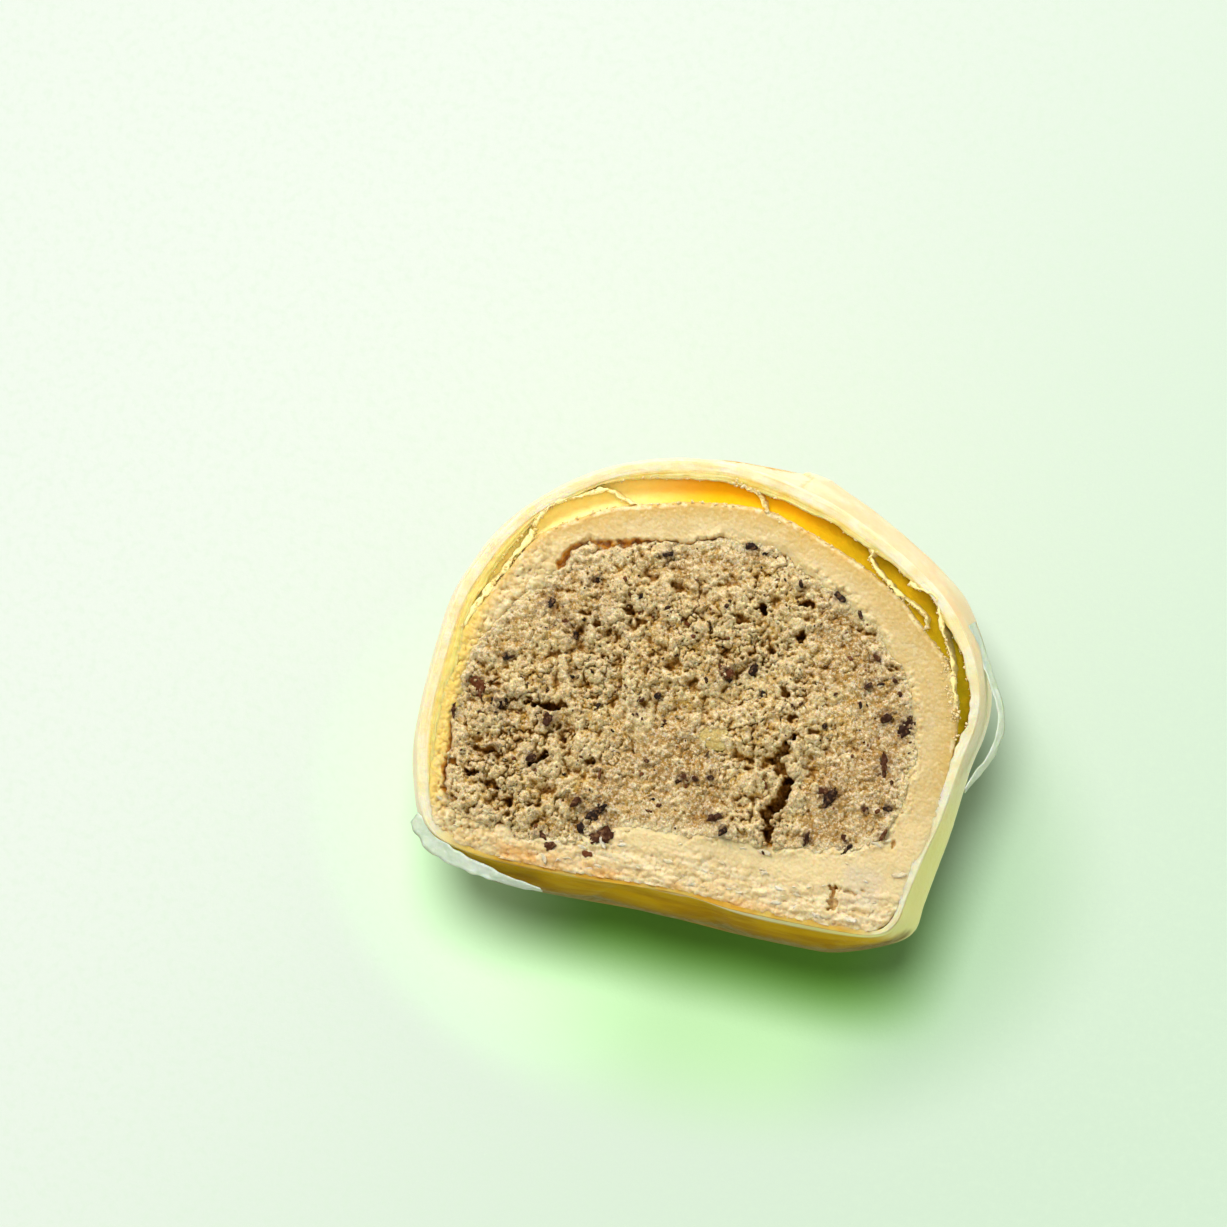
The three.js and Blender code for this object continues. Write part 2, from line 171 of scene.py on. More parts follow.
# ---- Beans and flakes ----
BEAN_SKINS = [  # x, y, length, width, direction in degrees, redness
    (20, 22, 2, 1.4, 70, 0.3), (18, 22.5, 1.2, 0.8, 40, 0.35), (18.7, 17.9, 1.9, 0.6, 105, 0.6),
    (14.3, 13.8, 2.5, 0.8, 70, 0.25), (13.6, 14.2, 1, 0.7, 10, 0.6), (3.8, 9.2, 1.6, 0.8, 35, 0.4),
    (5, 8.1, 1, 0.5, 40, 0.2), (13, 9.2, 1.5, 0.4, 85, 0.3), (17, 9.1, 1.7, 0.5, 55, 0.2),
    (20.2, 11.2, 1.3, 0.4, 70, 0.7), (1.6, 23.4, 1.7, 1.1, 150, 0.75), (4.2, 24.2, 1.3, 0.6, 60, 0.2),
    (1.3, 36, 1.2, 0.8, 20, 0.2), (-19.2, 15.5, 1.9, 1, 20, 0), (-14.2, 14.8, 1.1, 1, 80, 0.4),
    (-21.6, 16.4, 1.9, 1.2, 120, 0.8), (-23.6, 13.9, 1.6, 0.5, 100, 0.4), (-19.6, 20, 1.1, 0.7, 30, 0.1),
    (-12.9, 19.5, 0.9, 0.5, 20, 0.2), (-7.5, 7.1, 1.9, 1, 60, 0), (-6.6, 4.9, 1.9, 1.4, 20, 0.5),
    (-8.6, 5.2, 1, 0.8, 100, 0.2), (-12.2, 3.6, 1.6, 0.7, 145, 0.6), (-11.4, 2.8, 1.2, 0.9, 0, 0.6),
    (-9.6, 7.7, 1.1, 0.8, 40, 0.5), (-7.4, 2.9, 1, 0.6, 0, 0.85), (-4.3, 19.5, 0.7, 0.6, 0, 0.1),
    (-5.9, 17.3, 0.5, 0.4, 20, 0.5), (-18.9, 10.8, 1.3, 0.5, 30, 0.1), (-15, 10.8, 1.2, 0.6, 40, 0.3),
    (-16.6, 26, 1.9, 0.7, 60, 0.1), (-12.9, 29.1, 1.2, 0.7, 30, 0.2), (17.8, 13.4, 1, 0.6, 30, 0.6),
    (20, 13.9, 0.9, 0.5, 10, 0.1), (-0.1, 12.4, 0.8, 0.6, 0, 0.6), (1.1, 12.5, 0.6, 0.5, 0, 0.4),
    (2.5, 13, 0.6, 0.5, 0, 0.3), (-6.5, 33.2, 0.9, 0.5, 20, 0.2), (15.6, 28, 0.9, 0.5, 150, 0.6),
    (17.9, 26.2, 0.6, 0.5, 0, 0.4), (15.5, 25.2, 1.1, 0.5, 60, 0.3), (-3.9, 13.1, 0.5, 0.4, 0, 0.4),
    (-8.1, 11, 1.2, 0.3, 95, 0.9), (13.1, 31.8, 0.9, 0.4, 120, 0.3), (10.7, 33, 1, 0.6, 150, 0.2),
    (-13.6, 23.4, 1.1, 0.9, 120, 0.2), (-14.8, 24.6, 0.7, 0.6, 0, 0.7), (9.2, 7, 0.6, 0.3, 130, 0.5),
]
BEAN_CHUNK = (2.1, 16.8, 1.75, 1.15)  # x, y and half sizes of the cut yellow bean
SPECK_COUNT = 170  # small bits of bean skin on the paste
FLAKE_COUNT = 50  # pale flakes on the base and the left wall


# ---- Smooth steps and humps ----
def ramp(value, start, end):
    """0 before start, 1 past end, and smooth between."""
    t = np.clip((value - start) / (end - start), 0, 1)
    return t * t * (3 - 2 * t)


def hump(value, rise, top, fall, end):
    """Rises from 0 at rise to 1 at top, and goes back from 1 at fall to 0 at end."""
    return ramp(value, rise, top) * (1 - ramp(value, fall, end))


def bell(value, width):
    """1 where value is 0, and next to nothing two widths away."""
    return np.exp(-((value / width) ** 2))


def spot(x, y, centre_x, centre_y, reach):
    """1 at the centre, and next to nothing two reaches away."""
    return np.exp(-((x - centre_x) ** 2 + (y - centre_y) ** 2) / reach**2)


# ---- Placing ----
def bun_spread(depth):
    """How much wider the turned bun is at a depth than on the cut."""
    return np.sqrt(np.maximum(1 + depth * (2 * AXIS_DEPTH - depth) / BELLY_RADIUS**2, 1e-4))


def carry(x, y, depth):
    """Takes a point of the cut face down into the bun, along the bun's own surfaces."""
    spread = bun_spread(depth)
    return x * spread, np.where(y > BELLY, BELLY + (y - BELLY) * spread, y)


def puff(x, y, depth):
    """Moves a point of the outer shell out from the belly, where the skin has puffed up behind the cut."""
    along = hump(depth, 0, 8, 8, 32)
    direction = np.degrees(np.arctan2(y - BELLY, x))
    upper_right = hump(direction, 22, 42, 72, 92)
    corner = bell(direction + 28, 20)
    reach = np.maximum(np.hypot(x, y - BELLY), 0.1)
    lift = along * (SKIN_LIFT * upper_right + CORNER_BULGE * corner) / reach
    return x * (1 + lift), y + np.maximum(y - BELLY, 0) * lift


def place(points):
    """Points (x, y, z) of the cut face, in mm, as points of the frame, in metres."""
    return (np.asarray(points, float) + CUT_ORIGIN) * 0.001


# ---- Curves ----
def smooth_curve(points, count, closed=True):
    """Evenly spaced points on a Catmull-Rom curve through the given ones."""
    p = np.array(points, float)
    if closed:
        p = np.vstack([p[-1], p, p[0], p[1]])
    else:
        p = np.vstack([2 * p[0] - p[1], p, 2 * p[-1] - p[-2]])
    steps = 24
    t = np.linspace(0, 1, steps, endpoint=False)[:, None]
    dense = []
    for a, b, c, d in zip(p[:-3], p[1:-2], p[2:-1], p[3:]):
        square, cube = 2 * a - 5 * b + 4 * c - d, 3 * b - a - 3 * c + d
        dense.append(0.5 * (2 * b + (c - a) * t + square * t**2 + cube * t**3))
    dense = np.vstack(dense + [p[-2:-1]])
    run = np.concatenate([[0], np.cumsum(np.hypot(*np.diff(dense, axis=0).T))])
    wanted = np.linspace(0, run[-1], count, endpoint=not closed)
    return np.column_stack([np.interp(wanted, run, dense[:, 0]), np.interp(wanted, run, dense[:, 1])])


def path_normals(path, closed=True):
    """Unit vectors to the left of each point of a path."""
    if closed:
        along = np.roll(path, -1, axis=0) - np.roll(path, 1, axis=0)
    else:
        along = np.gradient(path, axis=0)
    along /= np.linalg.norm(along, axis=1)[:, None]
    return np.column_stack([-along[:, 1], along[:, 0]])


def distance_to_path(x, y, path):
    """Distance of each point from a path of straight pieces."""
    best = np.full(x.shape, 1e9)
    for (ax, ay), (bx, by) in zip(path[:-1], path[1:]):
        dx, dy = bx - ax, by - ay
        t = np.clip(((x - ax) * dx + (y - ay) * dy) / max(dx * dx + dy * dy, 1e-12), 0, 1)
        best = np.minimum(best, np.hypot(x - ax - t * dx, y - ay - t * dy))
    return best


class Region:
    """Signed distance from a closed outline, negative inside. A grid of it is kept, to read it anywhere."""

    STEP = 0.25

    def __init__(self, outline):
        path = smooth_curve(outline, 260)
        self.low = path.min(axis=0) - 4
        size = np.ceil((path.max(axis=0) + 4 - self.low) / self.STEP).astype(int)
        gx, gy = np.meshgrid(*[self.low[k] + self.STEP * np.arange(size[k]) for k in (0, 1)], indexing="ij")
        loop = np.vstack([path, path[:1]])
        inside = np.zeros(gx.shape, bool)
        for (ax, ay), (bx, by) in zip(loop[:-1], loop[1:]):
            spans = (ay > gy) != (by > gy)
            crossing = ax + (gy - ay) * (bx - ax) / (by - ay if by != ay else 1e-9)
            inside ^= spans & (gx < crossing)
        self.grid = np.where(inside, -1, 1) * distance_to_path(gx, gy, loop)

    def __call__(self, x, y):
        u = np.clip((x - self.low[0]) / self.STEP, 0, self.grid.shape[0] - 1.001)
        v = np.clip((y - self.low[1]) / self.STEP, 0, self.grid.shape[1] - 1.001)
        i, j = u.astype(int), v.astype(int)
        u, v = u - i, v - j
        g = self.grid
        low = g[i, j] * (1 - u) + g[i + 1, j] * u
        high = g[i, j + 1] * (1 - u) + g[i + 1, j + 1] * u
        return low * (1 - v) + high * v


# ---- Noise ----
def triples(a, b, c):
    """Three arrays, or numbers, as one array of points."""
    return np.stack(np.broadcast_arrays(a, b, c), axis=-1)


def noise(points, cell, seed):
    """Smooth noise from -1 to 1 with features about one cell across. A cell may differ by axis."""
    size = 32
    table = np.random.default_rng(seed).random((size, size, size)).astype(np.float32)
    p = np.asarray(points, np.float32) / np.float32(cell)
    i = np.floor(p).astype(np.int32)
    f = p - i
    f = f * f * (3 - 2 * f)
    total = 0
    for corner in np.ndindex(2, 2, 2):
        k = (i + corner) % size
        weight = np.prod(np.where(corner, f, 1 - f), axis=-1)
        total = total + weight * table[k[..., 0], k[..., 1], k[..., 2]]
    return 2 * total - 1


# ---- Meshes ----
def grid_faces(rows, columns, close_rows=False, close_columns=False):
    """Faces of a grid of rows x columns points, numbered row by row."""
    r = np.arange(rows if close_rows else rows - 1)[:, None]
    c = np.arange(columns if close_columns else columns - 1)[None, :]
    r1, c1 = (r + 1) % rows, (c + 1) % columns
    quads = [r * columns + c, r * columns + c1, r1 * columns + c1, r1 * columns + c]
    return np.stack([q.ravel() for q in quads], axis=1)


def join(parts):
    """Several (points, faces) as one."""
    points, faces, count = [], [], 0
    for p, f in parts:
        points.append(p)
        faces.append(np.asarray(f) + count)
        count += len(p)
    return np.vstack(points), np.vstack(faces)


def turned_out(points, faces, out_of):
    """Turns a sheet's faces so that most of them look away from a point, or up if that is None."""
    corners = points[faces]
    facing = np.cross(corners[:, 2] - corners[:, 0], corners[:, -1] - corners[:, 1])
    away = np.array([0, 0, 1.0]) if out_of is None else corners.mean(axis=1) - out_of
    return faces if (facing * away).sum() > 0 else faces[:, ::-1]


def make_piece(name, points, faces, material, slot, replaces=None, masks=None):
    """A mesh object from points on the cut face, in mm. Its material reads the masks, one number a point."""
    mesh = bpy.data.meshes.new(name)
    points, faces = np.asarray(points), np.asarray(faces)
    mesh.vertices.add(len(points))
    mesh.vertices.foreach_set("co", place(points).astype(np.float32).ravel())
    mesh.loops.add(faces.size)
    mesh.loops.foreach_set("vertex_index", faces.astype(np.int32).ravel())
    mesh.polygons.add(len(faces))
    mesh.polygons.foreach_set("loop_start", np.arange(0, faces.size, faces.shape[1], dtype=np.int32))
    mesh.update(calc_edges=True)
    mesh.validate()
    mesh.polygons.foreach_set("use_smooth", np.ones(len(mesh.polygons), bool))
    for key, values in (masks or {}).items():
        mesh.attributes.new(key, "FLOAT", "POINT").data.foreach_set("value", np.asarray(values, np.float32))
    mesh.materials.append(material)
    piece = bpy.data.objects.new(name, mesh)
    bpy.context.scene.collection.objects.link(piece)
    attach(piece, "root")
    if replaces:
        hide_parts(replaces)
    return piece


# ---- Shell: the outer skin, its cut rim with the layers behind it, and the wall of the gap ----
COLUMNS = 720  # points round the outline
WALL_ROWS = 84
FIRST_ROW = 0.3  # its depth below the cut
BACK_BULGE = 0.9  # how far the back reaches past the turned bun
RIM_ROWS = 40
LAYER_COUNT = 3
CEILING_DEPTHS = [9, 6.5, 4.5, 3, 2, 1.3, 0.8]


def bun_profiles():
    """Both sides of the turned bun from crown to base, as distances from its axis and heights."""
    path = smooth_curve(BUN_EDGE, 1600)
    top = np.argmin(np.abs(path[:, 0]) + np.where(path[:, 1] > BELLY, 0, 99))
    path = np.roll(path, -top, axis=0)
    low = np.argmin(np.abs(path[:, 0]) + np.where(path[:, 1] < BELLY, 0, 99))
    sides = []
    for half in (path[: low + 1], np.vstack([path[low:], path[:1]])[::-1]):
        reach = np.hypot(half[:, 0], AXIS_DEPTH)
        height = half[:, 1]
        t = np.linspace(0, 1, 40, endpoint=False)
        reach = np.concatenate([AXIS_DEPTH * t, reach, AXIS_DEPTH * t[::-1]])
        over = CROWN + (height[0] - CROWN) * t**2
        under = BASE + (height[-1] - BASE) * t[::-1] ** 2
        height = np.concatenate([over, height, under])
        share = np.linspace(0, len(reach) - 1, 6000)
        sides.append([np.interp(share, np.arange(len(reach)), v) for v in (reach, height)])
    return sides


def slices_of_bun(directions, depths):
    """Points (x, y) of the bun's skin, by direction from a middle, on flat slices at the given depths."""
    right, left = bun_profiles()
    mean = [(a + b) / 2 for a, b in zip(right, left)]
    peak = mean[1][np.argmax(mean[0])]
    widest = mean[0].max()
    rows = []
    for depth in depths:
        apart = min(abs(depth - AXIS_DEPTH), widest * 0.9999)
        # Both sides become one round the back, so that no crease is left between them.
        side_reach = np.sqrt(np.maximum(mean[0] ** 2 - apart**2, 1e-6))
        blend = ramp(np.arctan2(max(depth - AXIS_DEPTH, 0), side_reach) / (math.pi / 2), 0, 0.95)
        middle = BELLY + (peak - BELLY) * ramp(depth, 4, 26)
        row = np.zeros((len(directions), 2))
        for sign, side, facing in ((1, right, np.cos(directions) >= 0), (-1, left, np.cos(directions) < 0)):
            reach = side[0] + blend * (mean[0] - side[0])
            height = side[1] + blend * (mean[1] - side[1])
            there = np.flatnonzero(reach >= apart)
            x, y = np.sqrt(reach[there] ** 2 - apart**2), height[there]
            x[[0, -1]] = 0
            turn = np.maximum.accumulate(-np.arctan2(y - middle, x))
            wanted = -np.arctan2(np.sin(directions[facing]), np.abs(np.cos(directions[facing])))
            row[facing] = np.column_stack([sign * np.interp(wanted, turn, x), np.interp(wanted, turn, y)])
        rows.append(row)
    return np.array(rows)


def past_torn_edge(points):
    """How far right of its torn edge the outermost skin lies, in mm. It ends raggedly near the crown."""
    x, depth = points[..., 0], -points[..., 2]
    edge = np.interp(depth, *np.array(TORN_EDGE).T)
    return x - edge - 0.7 * noise(points, 1.6, 265) - 0.3 * noise(points, 0.6, 266)


def wall_relief(points):
    """How far the baked skin stands out: slow waves, shallow dents near the base and fine unevenness."""
    x, y, depth = points[..., 0], points[..., 1], -points[..., 2]
    turn = np.arctan2(depth - AXIS_DEPTH, x)
    dents = noise(triples(turn * 26, y * 0.25, 0), 3.4, 5)
    low = hump(y, 3, 8, 12, 22)
    slow = 0.16 * noise(points, 9, 3) + 0.05 * noise(points, 2.6, 4)
    torn = 0.32 * ramp(past_torn_edge(points), -0.1, 0.25) * ramp(y, 24, 32) * (1 - ramp(depth, 16, 24))
    return slow + torn - 0.3 * low * np.maximum(dents, 0) + 0.015 * noise(points, 0.7, 6)


def shell_thickness(outline):
    direction = np.degrees(np.arctan2(outline[:, 1] - BELLY, outline[:, 0]))
    thick = np.interp(direction, *np.array(SHELL_THICKNESS).T)
    flat = triples(outline[:, 0], outline[:, 1], 0)
    return thick + 0.16 * noise(flat, 2.2, 7) + 0.1 * noise(flat, 0.7, 8)


def build_shell():
    outline = smooth_curve(BUN_EDGE, COLUMNS)
    outward = path_normals(outline)
    directions = np.arctan2(outline[:, 1] - BELLY, outline[:, 0])
    back = AXIS_DEPTH + BELLY_RADIUS + BACK_BULGE
    t = np.linspace(0, 1, WALL_ROWS)
    # The rows lie closest near the cut and at the round back.
    share = 0.25 * t**1.5 + 0.75 * (1 - np.cos(math.pi * t)) / 2 * (0.35 + 0.65 * t)
    depths = FIRST_ROW + (back - FIRST_ROW) * share
    sliced = slices_of_bun(directions, np.concatenate([[0], depths]))
    settle = ramp(depths, 0, 5)[:, None, None]
    # Start from the exact cut outline, then follow the slices.
    wall = sliced[1:] + (outline - sliced[0]) * (1 - settle)
    x, y = puff(wall[..., 0], wall[..., 1], depths[:, None])
    hang = hump(depths, 0, 4, 12, 30)[:, None] * (1 - ramp(np.abs(x), 16, 25))
    y = y - BASE_BULGE * hang * (1 - ramp(y, 1.2, 5))
    wall = triples(x, y, -depths[:, None])
    middle = np.array([0, BELLY, -AXIS_DEPTH])
    out = wall - middle
    out /= np.linalg.norm(out, axis=-1, keepdims=True)
    fade = ramp(depths, 0.1, 1.2)[:, None] * ramp(y, 0.4, 4)
    wall = wall + out * (wall_relief(wall) * fade)[..., None]
    wall[..., 2] = np.maximum(wall[..., 2], -CUT_ORIGIN[2])

    # The cut of the shell, from its inner edge (0) to its outer edge (1).
    thick = shell_thickness(outline)
    v = np.linspace(0, 1, RIM_ROWS)[:, None]
    px = outline[:, 0] - outward[:, 0] * thick * (1 - v)
    py = outline[:, 1] - outward[:, 1] * thick * (1 - v)
    flat = triples(px, py, 0)
    ring = triples(*outline.T, 0 * v)
    rim_share = np.clip(RIM_WIDTH / thick, 0.3, 0.92)
    layer = np.clip((1 - v - rim_share) / (1 - rim_share), 0, None) * LAYER_COUNT
    layer = layer + 0.35 * noise(ring + [0, 0, 1] * v[..., None] * 3, 6, 9) * (layer > 0)
    number = np.floor(layer)
    groove = bell(layer - np.round(layer), 0.15) * (layer > 0.5)
    level = noise(ring + triples(0, 0, 7.3 * number), 5, 10)
    behind_rim = ramp(layer, -0.1, 0.25)
    z = 0.1 * noise(flat, 3, 11) + behind_rim * (-0.08 + 0.12 * level) - 0.05 * groove * (0.6 + 0.4 * level)
    z = z + (0.03 + 0.05 * behind_rim) * noise(flat, 0.45, 12)
    z = z - 0.28 * ramp(v, 0.9, 1.0) ** 2 - 0.25 * (1 - ramp(v, 0, 0.06)) * (thick > 1.3)
    top = triples(px, py, z)

    # The gap's ceiling below the inner edge.
    deep = np.array(CEILING_DEPTHS)[:, None]
    gx, gy = puff(*carry(px[0], py[0], deep), deep)
    streaks = 0.1 * noise(triples(px[0], py[0], deep / 6), 0.9, 13)
    inner = triples(gx + outward[:, 0] * streaks, gy + outward[:, 1] * streaks, -deep)
    under = np.concatenate([inner, top[:1]])
    faces = grid_faces(len(under), COLUMNS, close_columns=True)
    under = under.reshape(-1, 3)
    ceiling = under, turned_out(under, faces, middle)

    rows = np.concatenate([top, wall])
    faces = grid_faces(len(rows), COLUMNS, close_columns=True)
    points = rows.reshape(-1, 3)
    on_rim = {"inward": np.broadcast_to(1 - v, px.shape), "cut": np.ones(px.shape), "groove": groove}
    masks = {name: np.concatenate([grid, np.zeros(wall.shape[:2])]).ravel() for name, grid in on_rim.items()}
    masks["width"] = np.tile(thick, len(rows))
    masks["lip"] = bell(past_torn_edge(points), 0.3)
    return ceiling, (points, turned_out(points, faces, middle), masks)


# ---- Crumbled cut faces ----
def box_blur(grid, reach):
    for axis in (0, 1):
        pad = [(reach + 1, reach) if k == axis else (0, 0) for k in (0, 1)]
        total = np.cumsum(np.pad(grid, pad, "edge"), axis=axis)
        count, width = grid.shape[axis], 2 * reach + 1
        grid = (total.take(range(width, width + count), axis) - total.take(range(count), axis)) / width
    return grid


class CutFace:
    """A relief of heights over part of the cut, on a fine grid."""

    def __init__(self, low, high, step):
        self.low, self.step = np.array(low, float), step
        axes = [np.arange(a, b, step) for a, b in zip(low, high)]
        self.x, self.y = np.meshgrid(*axes, indexing="ij")
        self.flat = triples(self.x, self.y, 0)
        self.height = np.zeros(self.x.shape)

    def measure_hollows(self):
        """How far each place lies below what is round it, near by and in a wider ring."""
        near, wide = [max(1, round(reach / self.step)) for reach in (0.22, 0.9)]
        self.crevice = box_blur(box_blur(self.height, near), near) - self.height
        self.hollow = box_blur(box_blur(self.height, wide), wide) - self.height

    def at(self, grid, x, y):
        i, j = [np.round((v - low) / self.step).astype(int) for v, low in zip((x, y), self.low)]
        return grid[np.clip(i, 0, grid.shape[0] - 1), np.clip(j, 0, grid.shape[1] - 1)]

    def mesh(self, keep, masks):
        """Points, faces and masks of the kept part."""
        faces = grid_faces(*self.x.shape)
        faces = faces[keep.ravel()[faces].all(axis=1)]
        used = np.unique(faces)
        number = np.full(keep.size, -1)
        number[used] = np.arange(len(used))
        points = triples(self.x, self.y, self.height).reshape(-1, 3)[used]
        masks = {name: grid.ravel()[used] for name, grid in masks.items()}
        return points, turned_out(points, number[faces], None), masks


def coarseness(x, y):
    """0 where the knife pressed the paste fine, towards 1 where it broke into clumps."""
    value = np.full(x.shape, 0.2)
    for patch in COARSE_SPOTS:
        value = value + spot(x, y, *patch)
    return np.clip(value, 0, 1)


def browned_patches(x, y):
    value = np.zeros(x.shape)
    for patch in BROWN_SPOTS:
        value = np.maximum(value, spot(x, y, *patch))
    return value


def domes(x, y, cell, seed, drop=0.7):
    """Height of the topmost of scattered half balls, one to a cell, and that ball's own number."""
    least, most = 0.45, 0.95  # radius, in cells
    size = 128
    rng = np.random.default_rng(seed)
    middle = rng.random((2, size, size))
    radius = least + (most - least) * rng.random((size, size)) ** 1.5
    level = drop * (rng.random((size, size)) - 1)
    number = rng.random((size, size))
    u, v = x / cell, y / cell
    i, j = np.floor(u).astype(int), np.floor(v).astype(int)
    best, own = np.full(x.shape, -drop), np.full(x.shape, 0.5)
    for di, dj in np.ndindex(3, 3):
        a, b = i + di - 1, j + dj - 1
        k = (a % size, b % size)
        room = radius[k] ** 2 - (u - a - middle[0][k]) ** 2 - (v - b - middle[1][k]) ** 2
        top = np.where(room > 0, level[k] + np.sqrt(np.maximum(room, 0)), -9)
        higher = top > best
        best, own = np.where(higher, top, best), np.where(higher, number[k], own)
    return cell * best, own


def jostle(flat, cell, amount, seed):
    """Small moves of places, so that round things drawn there come out ragged."""
    return [flat[..., k] + amount * noise(flat, cell, seed + k) for k in (0, 1)]


def carve(face, height, cracks, pits):
    """Opens cracks and pits with ragged edges. A crack widens and narrows on its way."""
    flat = face.flat
    ragged = 0.3 * noise(flat, 0.9, 31) + 0.26 * noise(flat, 0.42, 32) + 0.2 * noise(flat, 0.24, 33)
    open_here = 0.35 + 0.9 * ramp(noise(flat, 1.7, 34), -0.5, 0.4)
    for path, half_width, depth in cracks:
        line = smooth_curve(path, 40, closed=False)
        apart = distance_to_path(face.x, face.y, line) + ragged
        height = height - depth * (1 - ramp(apart / (half_width * open_here), 0.4, 1.1))
    for x, y, half_width, half_height, depth in pits:
        apart = np.hypot((face.x - x) / half_width, (face.y - y) / half_height) + 1.9 * ragged
        height = height - 0.7 * depth * (1 - ramp(apart, 0.3, 1.1))
    return height


def seam_opening(face):
    """How far paste and dough have drawn back from each other, at the upper left and the lower left."""
    spread = 0.5 + 0.5 * ramp(noise(face.flat, 1.3, 35), -0.5, 0.3) + 0.2 * noise(face.flat, 0.4, 36)
    opening = np.zeros(face.x.shape)
    for path, width in SEAM_OPENINGS:
        line = smooth_curve(path, 40, closed=False)
        opening = np.maximum(opening, width * (1 - ramp(distance_to_path(face.x, face.y, line), 0.5, 1.4)))
    return opening * spread


def seam_wander(flat):
    """The paste's edge isn't smooth: this moves it out and in."""
    return 0.35 * noise(flat, 1.6, 41) + 0.15 * noise(flat, 0.5, 44)


def build_paste():
    face = CutFace(*PASTE_CORNERS, PASTE_STEP)
    flat = face.flat
    edge = Region(PASTE_EDGE)(face.x, face.y) + seam_wander(flat)
    rough = coarseness(face.x, face.y)
    # Broken levels with ragged edges, pressed flat by the knife, and over them grains of three sizes.
    broken = noise(flat, 2.6, 21) + 0.7 * noise(flat, 1.2, 22)
    broken = broken + 0.4 * noise(flat, 0.55, 23) + 0.2 * noise(flat, 0.27, 24)
    clumps, clump_tone = domes(*jostle(flat, 0.9, 0.6, 70), 1.9, 72)
    lumps, lump_tone = domes(*jostle(flat, 0.45, 0.25, 25), 0.95, 27)
    large = (0.1 + 0.6 * rough) * ramp(broken, -1.0, -0.1) + 0.3 * rough * ramp(broken, 0.5, 1.2)
    large = large + (0.1 + 0.26 * rough) * lumps + (0.1 + 0.18 * rough) * clumps
    parted = np.abs(noise(flat, 1.8, 81) + 0.35 * noise(flat, 0.5, 82) + 0.2 * noise(flat, 0.25, 83))
    parted = bell(parted, 0.1) * ramp(noise(flat, 3.3, 84), -0.4, 0.3)
    large = large - (0.16 + 0.5 * rough) * parted
    large = large - np.percentile(large[edge < 0], 60) + 0.3 * noise(flat, 7, 42)
    press = 0.1 + 0.7 * rough
    large = press - 0.12 * np.logaddexp(0, (press - large) / 0.12)
    medium, medium_tone = domes(*jostle(flat, 0.2, 0.05, 28), 0.5, 30, drop=0.9)
    small, small_tone = domes(face.x, face.y, 0.33, 39, drop=1.0)
    fine, fine_tone = domes(face.x, face.y, 0.22, 40, drop=1.0)
    height = large + (0.12 + 0.32 * rough) * medium + (0.2 + 0.28 * rough) * small
    height = height + (0.35 + 0.25 * rough) * fine
    height = height + 0.08 * noise(flat, 0.6, 26) + 0.05 * noise(flat, 0.28, 29)
    height = height - np.mean(height[np.abs(edge + 1) < 1]) + 0.02
    height = carve(face, height, CRACKS, PITS)
    edge = edge + seam_opening(face) + 0.1 * noise(flat, 0.25, 46)
    height = height - 2.6 * np.maximum(edge, 0)
    face.height = np.clip(height, -3.2, 1.05)
    face.measure_hollows()
    masks = {
        "tone": 0.3 * medium_tone + 0.35 * small_tone + 0.35 * fine_tone,
        "clump": 0.5 * clump_tone + 0.5 * lump_tone,
        "hollow": face.hollow,
        "crevice": face.crevice,
        "stain": near_bean_skins(face.x, face.y),
        "rough": rough,
        "brown": browned_patches(face.x, face.y),
    }
    return face, face.mesh(edge < 0.7, masks)


def joined_to_shell(x, y):
    """How much further out the dough reaches where no gap parts it from the shell."""
    low = 1 - ramp(y, 2.5, 6)
    left = (1 - ramp(x, -18, -16)) * (1 - ramp(y, 22, 28))
    right = ramp(x, 18, 20) * (1 - ramp(y, 15, 20))
    return np.maximum(0.8 * np.maximum(low, right), 0.35 * left)


